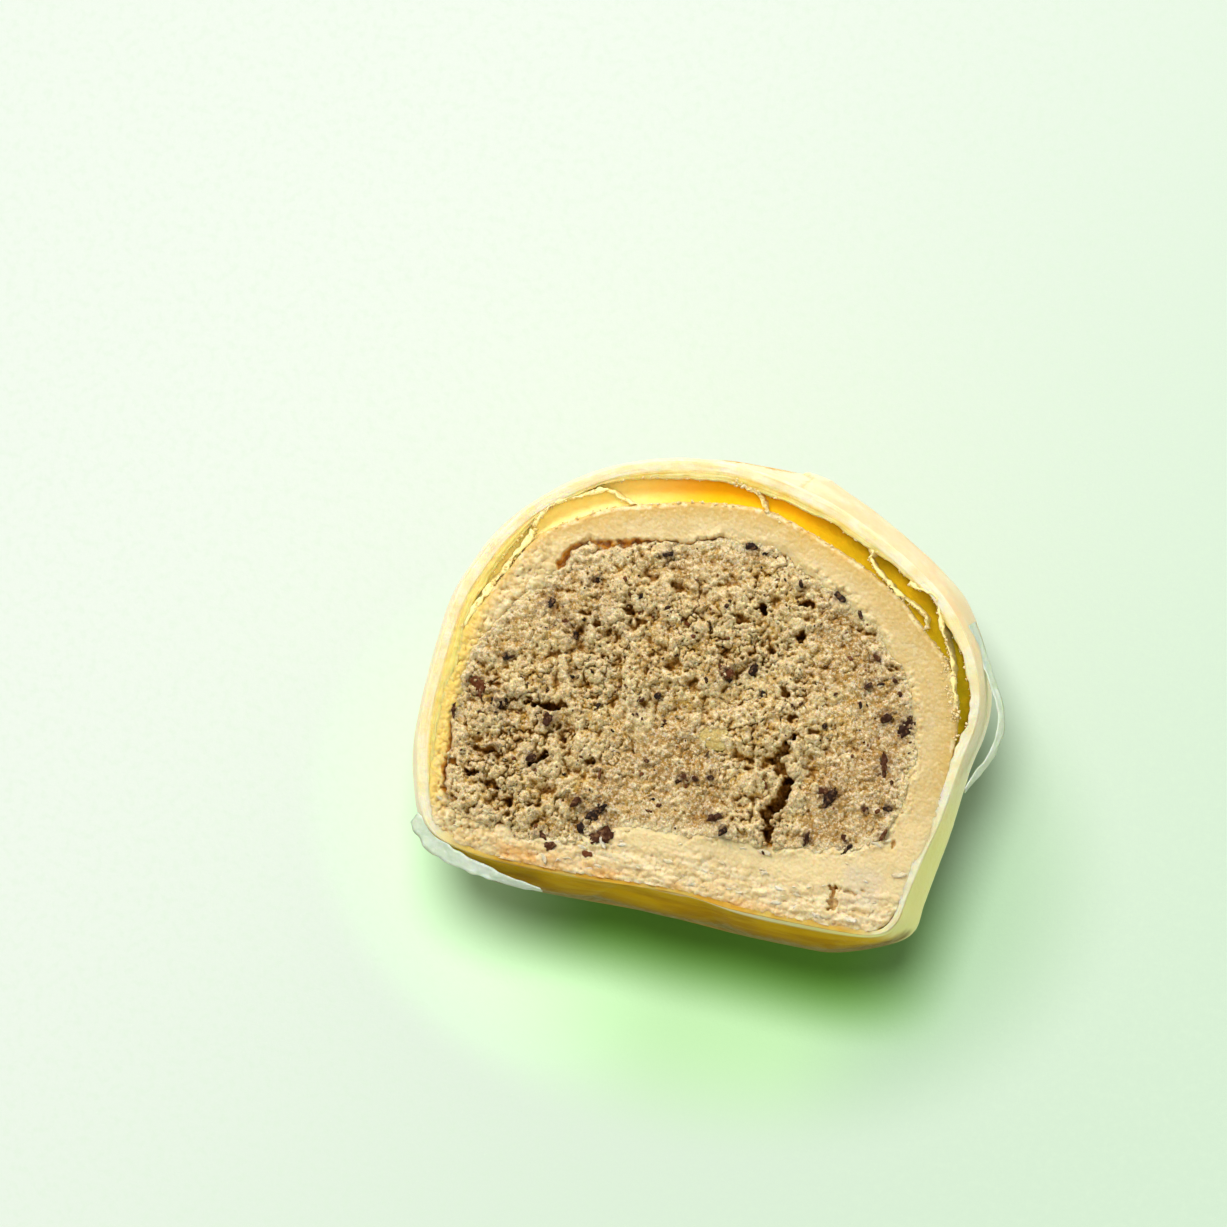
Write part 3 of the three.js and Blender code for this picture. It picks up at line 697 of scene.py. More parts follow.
def build_dough():
    face = CutFace(*DOUGH_CORNERS, DOUGH_STEP)
    x, y, flat = face.x, face.y, face.flat
    outer = Region(DOUGH_EDGE)(x, y) - joined_to_shell(x, y)
    inner = Region(PASTE_EDGE)(x, y) + seam_wander(flat)
    # The base breaks into flat flaky layers, the left wall into crumbs, and the rest cuts smooth.
    base = 1 - ramp(y + 0.9 * noise(flat, 3.5, 50), 4.2, 6.2)
    left = (1 - ramp(x, -20, -15)) * (1 - ramp(y, 31, 35))
    seam = bell(inner - 0.3, 0.5)
    left = left * ramp(-outer, 0.1, 1.1)
    crumbly = np.clip(0.8 * left + 0.8 * seam * ramp(noise(flat, 2.0, 49), -0.5, 0.4) + 0.12 * base, 0, 1)
    wide, wide_tone = domes(*jostle(flat, 0.4, 0.2, 53), 0.8, 55)
    medium, medium_tone = domes(*jostle(flat, 0.25, 0.1, 56), 0.42, 58)
    fine, fine_tone = domes(x, y, 0.24, 59)
    bent = [v + 0.5 * noise(flat, 2.2, 60 + k) for k, v in enumerate((x, y))]
    flakes, flake_tone = domes(0.5 * bent[0], 1.2 * bent[1], 0.8, 62, drop=0.9)
    height = 0.14 * noise(flat, 5, 51) + 0.05 * noise(flat, 1.1, 52) + (0.18 + 0.25 * crumbly) * fine
    height = height + crumbly * (0.4 * wide + 0.45 * medium) + base * (0.2 * flakes + 0.3 * medium)
    height = height + 0.12 * base * noise(flat * [0.35, 1, 1], 0.35, 57)
    height = height - np.mean(height[(inner > 0) & (outer < -0.3) & (y > 8)])
    height = height + 0.12 * bell(outer, 0.5) * ramp(y, 20, 30)
    height = carve(face, height, [(BASE_CRACK, 0.2, 0.8)], BASE_PITS)
    height = height - 0.25 * np.exp(np.minimum(outer, 0) / 0.2)
    height = height - 3.2 * np.maximum(outer + 0.05 * noise(flat, 0.4, 48), 0)
    # It passes under the paste's edge, but for the places where the seam has opened.
    opening = seam_opening(face)
    drawn_back = np.where(opening > 0.05, opening, -0.3) + 0.1 * noise(flat, 0.25, 47)
    height = height - 2.6 * np.maximum(drawn_back - inner, 0) - 0.3 * (1 - ramp(inner, -0.3, 0.5))
    face.height = np.maximum(height, np.where(opening > 0.05, -0.9, -1.9))
    face.measure_hollows()
    crumbly_tone, smooth_tone = 0.4 * wide_tone + 0.6 * medium_tone, 0.5 * flake_tone * base + 0.5 * fine_tone
    masks = {
        "tone": crumbly * crumbly_tone + (1 - crumbly) * smooth_tone,
        "hollow": face.hollow,
        "crevice": face.crevice,
        "toward_gap": (1 - ramp(-outer, 0, 2.6)) * ramp(y, 12, 20),
        "base": base,
        "crumbly": crumbly,
        "seam": ramp(drawn_back - inner, -0.1, 0.25),
    }
    return face, face.mesh((outer < 0.7) & (inner > -0.9) & (Region(BUN_EDGE)(x, y) < -0.3), masks)


def build_gap_floor():
    """The dough's wall inside the gap, from just under the cut down to where it is out of sight."""
    path = smooth_curve(DOUGH_EDGE, 700)
    inward = path_normals(path)
    keep = path[:, 1] > FLOOR_START
    start = np.argmax(keep & ~np.roll(keep, 1))
    path, inward, keep = [np.roll(a, -start, axis=0) for a in (path, inward, keep)]
    path, inward = path[keep], inward[keep]
    deep = np.array(FLOOR_DEPTHS)[:, None]
    x, y = carry(path[:, 0], path[:, 1], deep)
    streaks = noise(triples(path[:, 0], path[:, 1], deep / 5), 1.0, 61)
    room = -Region(BUN_EDGE)(path[:, 0], path[:, 1]) - 0.6
    inset = 0.12 + 0.07 * streaks - np.minimum(GAP_SLOPE * np.maximum(deep - 0.8, 0), room)
    rows = triples(x + inward[:, 0] * inset, y + inward[:, 1] * inset, -deep)
    points = rows.reshape(-1, 3)
    faces = grid_faces(len(rows), rows.shape[1])
    return points, turned_out(points, faces, np.array([0, BELLY, -5]))


# ---- Ribbons: free layers and torn skin ----
def ribbon(path, thick, top, bottom, seed):
    """A thin sheet with a frayed top edge that stands on a path of the cut. top and bottom are heights."""
    fray, wave = 0.12, 0.12
    length = np.hypot(*np.diff(np.array(path), axis=0).T).sum()
    count = max(8, int(length / (0.14)))
    line = smooth_curve(path, count, closed=False)
    out = path_normals(line, closed=False)
    s = np.linspace(0, length, count)
    ends = hump(s, -0.1, 0.8, length - 0.8, length + 0.1)
    edge = triples(s, 0, 0)
    crest = top + fray * (noise(edge, 0.9, seed) + 0.6 * noise(edge, 0.3, seed + 1)) - 0.5 * (1 - ends)
    levels = np.array([0, 0.04, 0.12, 0.3, 0.6, 1.0])[:, None]
    z = crest + (bottom - crest) * levels
    along = triples(s, z * 0.5, 0)
    bend = wave * noise(along, 2.2, seed + 2)
    half = thick / 2 * (1.6 - 0.7 * ends) * (1.1 + noise(along, 0.6, seed + 3))
    half[0] *= 0.3
    sides = []
    for sign in (1, -1):
        shift = bend + sign * half
        x, y = carry(line[:, 0] + out[:, 0] * shift, line[:, 1] + out[:, 1] * shift, np.maximum(-z, 0))
        sides.append(triples(x, y, z))
    rows = np.concatenate([sides[0][::-1], sides[1]])
    points = rows.reshape(-1, 3)
    for axis in (0, 1):
        ragged = 0.13 * noise(rows, 0.45, seed + 4 + axis) + 0.07 * noise(rows, 0.2, seed + 6 + axis)
        points[:, axis] += ragged.ravel()
    faces = [grid_faces(len(rows), count, close_rows=True)]
    for column in (0, count - 1):
        loop = np.arange(len(rows)) * count + column
        quads = [[loop[k], loop[k + 1], loop[-k - 2], loop[-k - 1]] for k in range(len(levels) - 1)]
        quads = np.array(quads)
        faces.append(quads if column else quads[:, ::-1])
    return points, outward_faces(points, np.vstack(faces))


def slab(grid, thick):
    """A thin closed body round a grid of points."""
    side = np.cross(np.gradient(grid, axis=0), np.gradient(grid, axis=1))
    side *= thick / 2 / np.maximum(np.linalg.norm(side, axis=-1, keepdims=True), 1e-9)
    rows, columns = grid.shape[:2]
    points = np.concatenate([(grid + side).reshape(-1, 3), (grid - side).reshape(-1, 3)])
    top = grid_faces(rows, columns)
    number = np.arange(rows * columns).reshape(rows, columns)
    loop = np.concatenate([number[0, :-1], number[:-1, -1], number[-1, :0:-1], number[:0:-1, 0]])
    after = np.roll(loop, -1)
    far = rows * columns
    edge = np.column_stack([after, loop, loop + far, after + far])
    return points, outward_faces(points, np.vstack([top, top[:, ::-1] + far, edge]))


def outward_faces(points, faces):
    a, b, c = [points[faces[:, k]] for k in range(3)]
    return faces if (a * np.cross(b, c)).sum() > 0 else faces[:, ::-1]


def torn_flake(inner, outer, inner_height, outer_height, thick, seed):
    """A thin curled sheet between two edges of the cut, with frayed ends."""
    length = np.hypot(*np.diff(np.array(outer), axis=0).T).sum()
    count = int(length / 0.2)
    a, b = smooth_curve(inner, count, closed=False), smooth_curve(outer, count, closed=False)
    share = np.linspace(0, 1, 7)[:, None]
    s = np.linspace(0, length, count)[None, :]
    fray = 0.1 * noise(triples(s, 9 * np.round(share), 0), 0.9, seed)
    across = share + fray * np.abs(2 * share - 1)
    x = a[:, 0] + (b[:, 0] - a[:, 0]) * across
    y = a[:, 1] + (b[:, 1] - a[:, 1]) * across
    z = inner_height + (outer_height - inner_height) * across
    z = z + 0.5 * noise(triples(s, share, 0), 3.0, seed + 1)
    z = z + 0.15 * noise(triples(s, 2 * share, 0), 0.8, seed + 2)
    return slab(triples(x, y, z), thick)


# ---- Bean skins, specks, crumbs and flakes ----
def lump(subdivisions):
    """Points and three-sided faces of a ball of radius 1."""
    shape = bmesh.new()
    bmesh.ops.create_icosphere(shape, subdivisions=subdivisions, radius=1)
    shape.verts.index_update()
    points = np.array([v.co for v in shape.verts])
    faces = np.array([[v.index for v in f.verts] for f in shape.faces])
    shape.free()
    return points, faces


def scatter(template, centres, sizes, turns, tilts, seed, rough=0.3, bend=0.0):
    """Copies of a lump at centres, each stretched, bent, roughened and turned in its own way."""
    points, faces = template
    rng = np.random.default_rng(seed)
    count = len(centres)
    shapes = points[None] * (1 + rough * (rng.random((count, len(points), 1)) - 0.5) * 2)
    shapes = shapes * sizes[:, None, :]
    shapes[..., 2] += bend * (shapes[..., 0] ** 2) / np.maximum(sizes[:, None, 0], 1e-6)
    c, s = np.cos(tilts)[:, None], np.sin(tilts)[:, None]
    y, z = shapes[..., 1] * c - shapes[..., 2] * s, shapes[..., 1] * s + shapes[..., 2] * c
    x = shapes[..., 0]
    c, s = np.cos(turns)[:, None], np.sin(turns)[:, None]
    out = triples(x * c - y * s, x * s + y * c, z) + centres[:, None, :]
    index = faces[None] + (np.arange(count) * len(points))[:, None, None]
    return out.reshape(-1, 3), index.reshape(-1, faces.shape[1])


def build_bean_skins(paste, dough):
    def surface(x, y):
        return np.maximum(paste.at(paste.height, x, y), dough.at(dough.height, x, y))

    # The ones that are measured, with torn outlines.
    x, y, length, width, direction, redness = np.array(BEAN_SKINS).T
    centres = np.column_stack([x, y, surface(x, y) - 0.02])
    sizes = np.column_stack([length / 2, width / 2, 0.18 + 0.12 * width])
    rng = np.random.default_rng(71)
    tilts = rng.normal(0, 0.25, len(x))
    points, faces = scatter(lump(4), centres, sizes, np.radians(direction), tilts, 72, rough=0.02, bend=0.2)
    torn = 0.8 * noise(points, 0.7, 74) + 0.7 * noise(points, 0.3, 75) + 0.3 * noise(points, 0.15, 76)
    each = len(points) // len(x)
    middle = np.repeat(centres, each, axis=0)
    big = middle + (points - middle) * (1 + 0.55 * torn)[:, None], faces
    tone = [np.repeat(redness, each)]

    # Small ones anywhere on the paste.
    tries = 3 * SPECK_COUNT
    x, y = rng.uniform(-24, 22, tries), rng.uniform(2.5, 36.5, tries)
    inside = Region(PASTE_EDGE)(x, y) < -0.4
    x, y = x[inside][:SPECK_COUNT], y[inside][:SPECK_COUNT]
    size = 0.11 + 0.22 * rng.random(len(x)) ** 2.5
    sizes = np.column_stack([size * rng.uniform(1, 1.8, len(x)), size, size * 0.5])
    centres = np.column_stack([x, y, surface(x, y)])
    turns, tilts = rng.uniform(0, math.pi, len(x)), rng.normal(0, 0.5, len(x))
    small = scatter(lump(1), centres, sizes, turns, tilts, 73, rough=0.25)
    tone.append(np.repeat(rng.random(len(x)), len(small[0]) // len(x)))
    points, faces = join([big, small])
    return points, faces, {"tone": np.concatenate(tone)}


def near_bean_skins(x, y):
    """1 on a large bean skin and its smeared stain, fading to 0 about a millimetre away."""
    stain = np.zeros(x.shape)
    for bx, by, length, width, *_ in BEAN_SKINS:
        reach = 0.45 * length + 0.45 * width
        stain = np.maximum(stain, spot(x, y, bx, by, reach))
    return stain


def build_flakes(face):
    """Thin pale flakes of the broken layers along the base and the left wall."""
    rng = np.random.default_rng(91)
    tries = 8 * FLAKE_COUNT
    x, y = rng.uniform(-24, 23.5, tries), rng.uniform(0.8, 12, tries)
    outer, paste = Region(DOUGH_EDGE)(x, y), Region(PASTE_EDGE)(x, y)
    low = np.where(y < 5.6, 1, 0.25)
    keep = (outer < -0.35) & (paste > 0.2) & (rng.random(len(x)) < low)
    x, y = x[keep][:FLAKE_COUNT], y[keep][:FLAKE_COUNT]
    size = 0.14 + 0.34 * rng.random(len(x)) ** 2.5
    sizes = triples(size * 1.4, size * 0.55, 0.05)
    centres = np.column_stack([x, y, face.at(face.height, x, y) + 0.03])
    turns, tilts = rng.normal(0, 0.35, len(x)), rng.normal(0.2, 0.4, len(x))
    return scatter(lump(3), centres, sizes, turns, tilts, 92, rough=0.3, bend=0.3)


def build_gap_crumbs():
    """Crumbs on the torn edges of the free layers, the shell and the dough, and heaped in the gap."""
    rng = np.random.default_rng(101)
    lines = [smooth_curve(path, 90, closed=False) for path, *_ in GAP_MEMBRANES]
    outline = smooth_curve(BUN_EDGE, 900)
    outline = outline - path_normals(outline) * (shell_thickness(outline) - 0.05)[:, None]
    dough = smooth_curve(DOUGH_EDGE, 900)
    for line, share in ((outline, 0.3), (dough, 0.4)):
        lines.append(line[(line[:, 1] > 22) & (rng.random(len(line)) < share)])
    heap = smooth_curve(CRUMB_HEAP, 220, closed=False)
    spots = np.concatenate(lines)
    spots = spots + rng.normal(0, 0.09, spots.shape)
    spots = np.concatenate([spots, heap + rng.normal(0, 0.3, heap.shape)])
    count = len(spots)
    size = 0.05 + 0.13 * rng.random(count) ** 2.5
    sizes = size[:, None] * rng.uniform(0.6, 1.5, (count, 3))
    centres = np.column_stack([spots, rng.uniform(-0.4, 0.05, count)])
    turns, tilts = rng.uniform(0, math.pi, count), rng.normal(0, 0.6, count)
    return scatter(lump(1), centres, sizes, turns, tilts, 102, rough=0.45)


def build_bean_chunk(face):
    x, y, half_x, half_y = BEAN_CHUNK
    points, faces = lump(5)
    grain = 1 + 0.07 * noise(points, 0.45, 95) + 0.05 * noise(points, 0.15, 96)
    points = points * grain[:, None] * [half_x, half_y, 0.7]
    points[:, 2] = np.where(points[:, 2] > 0, points[:, 2] * 0.3, points[:, 2])
    points[:, 2] += 0.05 * noise(points * [1, 1, 0], 0.22, 97)
    level = float(face.at(face.hollow + face.height, np.array([x]), np.array([y]))[0])
    return points + [x, y, level], faces


# ---- Materials ----
def colour(text):
    """A colour like "F2B84B" as linear numbers."""
    values = [int(text[k : k + 2], 16) / 255 for k in (0, 2, 4)]
    return [v / 12.92 if v <= 0.04045 else ((v + 0.055) / 1.055) ** 2.4 for v in values] + [1]


class Look:
    """A Principled material worked out from places on the cut face in mm. Each method adds nodes."""

    def __init__(self, name, roughness, scatter=0.0, scatter_depth=1.0, specular=0.4):
        self.material = bpy.data.materials.new(name)
        self.material.use_nodes = True
        self.tree = self.material.node_tree
        self.surface = self.tree.nodes["Principled BSDF"]
        self.surface.inputs["Roughness"].default_value = roughness
        self.surface.inputs["Specular IOR Level"].default_value = specular
        self.surface.inputs["Subsurface Weight"].default_value = scatter
        self.surface.inputs["Subsurface Radius"].default_value = (1.0, 0.55, 0.2)
        self.surface.inputs["Subsurface Scale"].default_value = scatter_depth * 0.001
        place_in_frame = self.node("ShaderNodeTexCoord").outputs["Object"]
        self.place = self.vector("MULTIPLY_ADD", place_in_frame, (1000, 1000, 1000), tuple(-CUT_ORIGIN))
        self.x, self.y, self.z = self.node("ShaderNodeSeparateXYZ", {0: self.place}).outputs

    def node(self, kind, inputs=None, **settings):
        node = self.tree.nodes.new(kind)
        for key, value in settings.items():
            setattr(node, key, value)
        for key, value in (inputs or {}).items():
            self.feed(node.inputs[key], value)
        return node

    def feed(self, socket, value):
        if isinstance(value, bpy.types.NodeSocket):
            self.tree.links.new(value, socket)
        elif isinstance(value, str):
            socket.default_value = colour(value)
        else:
            socket.default_value = value

    def calc(self, what, a, b=0.0, c=0.0):
        return self.node("ShaderNodeMath", {0: a, 1: b, 2: c}, operation=what).outputs[0]

    def times(self, a, b):
        return self.calc("MULTIPLY", a, b)

    def vector(self, what, a, b=(0, 0, 0), c=(0, 0, 0)):
        return self.node("ShaderNodeVectorMath", {0: a, 1: b, 2: c}, operation=what).outputs[0]

    def spread(self, cell, stretch, seed):
        scale = tuple(k / cell for k in stretch)
        return self.vector("MULTIPLY_ADD", self.place, scale, (7.3 * seed, 3.1 * seed, 5.7 * seed))

    def noise(self, cell, seed, detail=2.0, stretch=(1, 1, 1)):
        where = self.spread(cell, stretch, seed)
        return self.node("ShaderNodeTexNoise", {"Vector": where, "Scale": 1.0, "Detail": detail}).outputs[0]

    def cells(self, cell, seed):
        where = self.spread(cell, (1, 1, 1), seed)
        return self.node("ShaderNodeTexVoronoi", {"Vector": where, "Scale": 1.0}).outputs

    def band(self, value, start, end, low=0.0, high=1.0):
        """low before start, high past end, and smooth between."""
        inputs = {"Value": value, "From Min": start, "From Max": end, "To Min": low, "To Max": high}
        return self.node("ShaderNodeMapRange", inputs, interpolation_type="SMOOTHSTEP").outputs[0]

    def patches(self, cell, seed, start=0.35, end=0.65, low=0.0, high=1.0, **kind):
        """Soft patches where noise of this cell size rises from start to end."""
        return self.band(self.noise(cell, seed, **kind), start, end, low, high)

    def mask(self, name):
        return self.node("ShaderNodeAttribute", attribute_name=name).outputs["Fac"]

    def mix(self, share, low, high):
        node = self.node("ShaderNodeMix", data_type="RGBA")
        for socket, value in zip((node.inputs[0], node.inputs[6], node.inputs[7]), (share, low, high)):
            self.feed(socket, value)
        return node.outputs[2]

    def coats(self, base, *coats):
        """Lays coats over a base colour, each given as its share and its colour."""
        for share, tint in coats:
            base = self.mix(share, base, tint)
        return base

    def granules(self, cell, seed):
        """Rounded granules: their height, their own number, and the gaps between them."""
        found = self.cells(cell, seed)
        number = self.node("ShaderNodeSeparateColor", {0: found["Color"]}).outputs[0]
        apart = found["Distance"]
        return self.band(apart, 0.05, 0.75, 1, 0), number, self.band(apart, 0.4, 0.75)

    def specks(self, cell, seed, size, chance):
        """Scattered round specks, at a share of the cells."""
        found = self.cells(cell, seed)
        chosen = self.node("ShaderNodeSeparateColor", {0: found["Color"]}).outputs[0]
        near = self.band(found["Distance"], size * 0.6, size, 1, 0)
        return self.times(near, self.calc("LESS_THAN", chosen, chance))

    def bump(self, height, depth, below=None):
        """depth is in mm."""
        inputs = {"Height": height, "Distance": depth * 0.001, "Strength": 1.0}
        if below is not None:
            inputs["Normal"] = below
        return self.node("ShaderNodeBump", inputs).outputs[0]

    def finish(self, base, normal=None, roughness=None):
        for name, value in (("Base Color", base), ("Normal", normal), ("Roughness", roughness)):
            if value is not None:
                self.feed(self.surface.inputs[name], value)
        return self.material


def paste_look():
    look = Look("bean_paste", 0.6, scatter=0.5, scatter_depth=0.5, specular=0.15)
    tone, clump, hollow, crevice = [look.mask(name) for name in ("tone", "clump", "hollow", "crevice")]
    large, large_number, large_gap = look.granules(0.42, 21)
    small, small_number, small_gap = look.granules(0.24, 22)
    sugar, sugar_number, _ = look.granules(0.15, 23)
    rough = look.mask("rough")
    pale = look.calc("MAXIMUM", look.band(clump, 0.5, 0.7), look.patches(1.9, 3, 0.48, 0.6, detail=5))
    pressed = look.times(look.band(rough, 0.8, 0.3), look.patches(3.2, 14, 0.3, 0.62, 0.25, 0.85, detail=4))
    browned = look.times(look.mask("brown"), look.patches(1.5, 13, 0.42, 0.58, 0.1, 0.65, detail=4))
    # Painted shade in the gaps between granules, stronger where the paste broke coarse.
    gaps = look.times(look.calc("MAXIMUM", large_gap, small_gap), look.band(rough, 0.2, 1, 0.1, 0.35))
    smear = look.times(look.mask("stain"), look.patches(0.5, 12, 0.38, 0.58, 0, 0.85, detail=4))
    base = look.coats(
        look.mix(look.patches(5, 1), "D6B056", "DFBE68"),
        (look.patches(2.0, 2, 0.48, 0.66, 0, 0.65, detail=4), "BE9444"),
        (look.patches(2.1, 11, 0.54, 0.68, 0, 0.55, detail=4), "A08048"),
        (look.times(pale, 0.85), "F5E8B4"),
        (pressed, "AC8440"),
        (browned, "A27A3A"),
        # Painted highlight: places that stand above their surroundings are lightened to cream.
        (look.band(hollow, -0.04, -0.3, 0, 0.7), "F4E8BA"),
        (look.band(tone, 0.5, 0.85, 0, 0.35), "F4E8BA"),
        (look.band(large_number, 0.55, 0.9, 0, 0.3), "F4EAC0"),
        (look.band(small_number, 0.65, 0.85, 0, 0.6), "FAF2D8"),
        (look.band(large_number, 0.35, 0.1, 0, 0.25), "B08A40"),
        (look.band(small_number, 0.3, 0.1, 0, 0.2), "AC863E"),
        (look.band(sugar_number, 0.76, 0.92, 0, 0.5), "FFF4D4"),
        (look.band(sugar_number, 0.3, 0.1, 0, 0.3), "A87E34"),
        # painted shade between granules
        (gaps, "A07420"),
        (look.specks(0.9, 5, 0.2, 0.1), "7A4A2C"),
        (look.specks(1.1, 6, 0.14, 0.1), "3C2A28"),
        (smear, "6A4632"),
        # Painted shade: crevices and hollows are darkened to deep amber, warm as light comes through the
        # paste.
        (look.band(crevice, 0.04, 0.25, 0, 0.6), "A67A14"),
        (look.band(hollow, 0.1, 0.6, 0, 0.8), "9C680C"),
        (look.band(hollow, 0.6, 1.6), "744602"),
    )
    normal = look.bump(large, 0.035, look.bump(small, 0.035, look.bump(sugar, 0.02)))
    return look.finish(base, normal, look.patches(0.3, 10, 0.3, 0.7, 0.4, 0.75))


def dough_look():
    look = Look("inner_dough", 0.55, scatter=0.5, scatter_depth=0.8)
    tone, hollow, crevice, flaky_base = [look.mask(name) for name in ("tone", "hollow", "crevice", "base")]
    smooth = look.coats(
        look.mix(look.patches(4, 1), "E2CB90", "E8D6A2"),
        (look.patches(0.8, 2, 0.5, 0.72, 0, 0.6), "EADCB4"),
        (look.times(look.mask("toward_gap"), 0.75), "DEB854"),
        # Painted shade: the ring is darker and more olive at the right, where it faces away from the light.
        (look.times(look.band(look.x, 6, 20, 0, 0.5), look.band(look.y, 10, 16)), "D0B878"),
        (look.band(look.y, 11, 8, 0, 0.7), "E9D9A8"),
    )
    flaky = look.coats(
        look.mix(look.patches(0.6, 3, 0.42, 0.6, detail=3, stretch=(0.35, 1, 1)), "DDC894", "EEE2BC"),
        (look.patches(2.6, 4, 0.5, 0.7, 0, 0.3, stretch=(0.5, 1, 1)), "DCBE7E"),
    )
    rosy_x = look.times(look.band(look.x, 16.8, 18.2), look.band(look.x, 21.8, 20.6))
    rosy_y = look.times(look.band(look.y, 8.4, 7.2), look.band(look.y, 3.4, 4.6))
    orange = look.times(look.band(look.y, 2.8, 1.4), look.patches(4.1, 6, 0.42, 0.6, 0.1, 1))
    torn_crumbs = look.times(
        look.band(look.mask("toward_gap"), 0.9, 0.98), look.patches(0.9, 24, 0.42, 0.6, detail=4)
    )
    lit_wall = look.times(look.band(look.x, -21.5, -24.2), look.band(look.y, 1.5, 6))
    calm = look.calc("SUBTRACT", 1.0, look.times(flaky_base, 0.55))
    sand, number, _ = look.granules(0.3, 23)
    base = look.coats(
        look.mix(flaky_base, smooth, flaky),
        (look.mask("crumbly"), look.mix(look.patches(0.7, 5, 0.4, 0.62), "DEC588", "EEE2B6")),
        (look.band(tone, 0.5, 0.9, 0, 0.55), "F1E6C0"),
        (look.times(look.times(rosy_x, rosy_y), 0.5), "D8CCB6"),
        (look.times(orange, look.band(look.x, 18, 8, 0, 0.7)), "E0A648"),
        (look.patches(0.25, 7, 0.56, 0.72, 0, 0.15), "D4B06A"),
        (look.times(torn_crumbs, 0.85), "F6E9BC"),
        # Light glows through the thin left wall.
        (look.times(lit_wall, 0.8), "F7D665"),
        # Painted shade: crevices, hollows and the opened seam are darkened to warm orange and brown.
        (look.times(look.band(crevice, 0.03, 0.25, 0, 0.7), calm), "D09C3C"),
        (look.times(look.band(hollow, 0.15, 0.8, 0, 0.85), calm), "D8941C"),
        (look.band(hollow, 0.8, 1.8), "BC7A0E"),
        (look.mask("seam"), look.mix(look.patches(0.8, 25, 0.4, 0.6, detail=3), "E8A01C", "A8640A")),
        (look.band(number, 0.6, 0.9, 0, 0.18), "F6EDD0"),
        (look.band(number, 0.3, 0.1, 0, 0.08), "CFA557"),
    )
    return look.finish(base, look.bump(sand, 0.018), look.patches(0.5, 9, 0.3, 0.7, 0.45, 0.7))


def cut_rim(look):
    """The colour of the crust's cut rim, with laminations behind it, and a wavy streak that follows them."""
    inset = look.times(look.mask("inward"), look.mask("width"))
    rim = look.mix(look.patches(2.2, 1), "F8EBBE", "FDF5DA")
    layers = look.coats(
        look.mix(look.patches(0.9, 2, stretch=(0.5, 0.5, 1)), "F7DD7E", "FBEBA6"),
        (look.band(look.x, -10, -15, 0, 0.8), "FDE48A"),
    )
    # The streak changes quickly across the layers and slowly along them.
    along = look.vector("MULTIPLY", look.place, (0.22, 0.22, 0.22))
    across = look.node("ShaderNodeCombineXYZ", {"Z": look.times(inset, 6.0)}).outputs[0]
    where = look.vector("ADD", along, across)
    streak = look.node("ShaderNodeTexNoise", {"Vector": where, "Scale": 1.0, "Detail": 3.0}).outputs[0]
    low = look.times(look.band(look.y, 2.8, 1.4), look.band(look.calc("ABSOLUTE", look.x), 23, 19))
    cut = look.coats(
        look.mix(look.band(inset, RIM_WIDTH - 0.15, RIM_WIDTH + 0.25), rim, layers),
        # Painted shade in the grooves between layers, kept warm yellow as light scatters in the crust.
        (look.times(look.mask("groove"), 0.4), "FBD65A"),
        (look.band(streak, 0.52, 0.68, 0, 0.35), "F6D680"),
        (low, look.mix(look.patches(3.1, 15, 0.4, 0.6), "DDA63C", "E6C268")),
    )
    return cut, streak


def outer_skin(look):
    """The baked skin: pale and peach near the cut, with a painted green reflection of the table at the lower
    right, tan and mottled behind.
    """
    peach = look.times(look.band(look.y, 26, 36), look.band(look.x, 3, 9))
    peach = look.times(peach, look.patches(3.4, 16, 0.35, 0.65, 0.2, 0.8, detail=3))
    # Painted reflection: the lower right is tinted green as if by the green table.
    green = look.times(look.band(look.y, 22, 12), look.band(look.x, 6, 20))
    tan = look.coats(
        look.mix(look.patches(7, 17), "CDBB88", "D9C593"),
        (look.patches(0.9, 18, 0.48, 0.7, 0, 0.7, detail=5), "BC9C58"),
        (look.patches(0.5, 19, 0.52, 0.72, 0, 0.5, detail=3), "E6D8B0"),
        # Painted reflection: olive towards the base, as if from the green table below.
        (look.band(look.y, 24, 8, 0, 0.5), "BFBE78"),
    )
    behind = look.calc("MULTIPLY_ADD", look.noise(4.5, 20, detail=4), 9.0, look.z)
    return look.coats(
        look.mix(look.patches(9, 3), "EFE2B8", "F4E9C8"),
        (look.patches(2.4, 4, 0.5, 0.72, 0, 0.5, detail=4), "EBCB98"),
        (look.patches(0.5, 5, 0.55, 0.75, 0, 0.5, detail=3), "FBF4DA"),
        (peach, "F2D3A2"),
        (look.times(green, 0.85), "F0EC92"),
        (look.band(behind, -0.5, -8), tan),
    )


def underside(look):
    """Where the bun stood on the baking tray: its share, and its browned colour, which gets darker further
    below the cut.
    """
    wavy_y = look.calc("ADD", look.y, look.times(look.noise(3, 8), 2.6))
    pale_depth = look.band(look.x, 0, 12, 0.1, 0.8)
    share = look.times(look.band(wavy_y, 4.4, 2.6), look.band(look.calc("ADD", look.z, pale_depth), 0, -0.4))
    mustard = look.coats(
        look.mix(look.patches(1.8, 9, 0.4, 0.62, detail=3, stretch=(0.2, 1, 1)), "D0A400", "B48800"),
        (look.patches(0.6, 21, 0.45, 0.65, 0, 0.4, detail=4, stretch=(0.12, 1, 1)), "D8B824"),
        # Darker further below the cut.
        (look.band(look.z, -1.6, -4.5), "6E5404"),
        (look.band(look.z, -10, -16), "94621A"),
    )
    return share, mustard


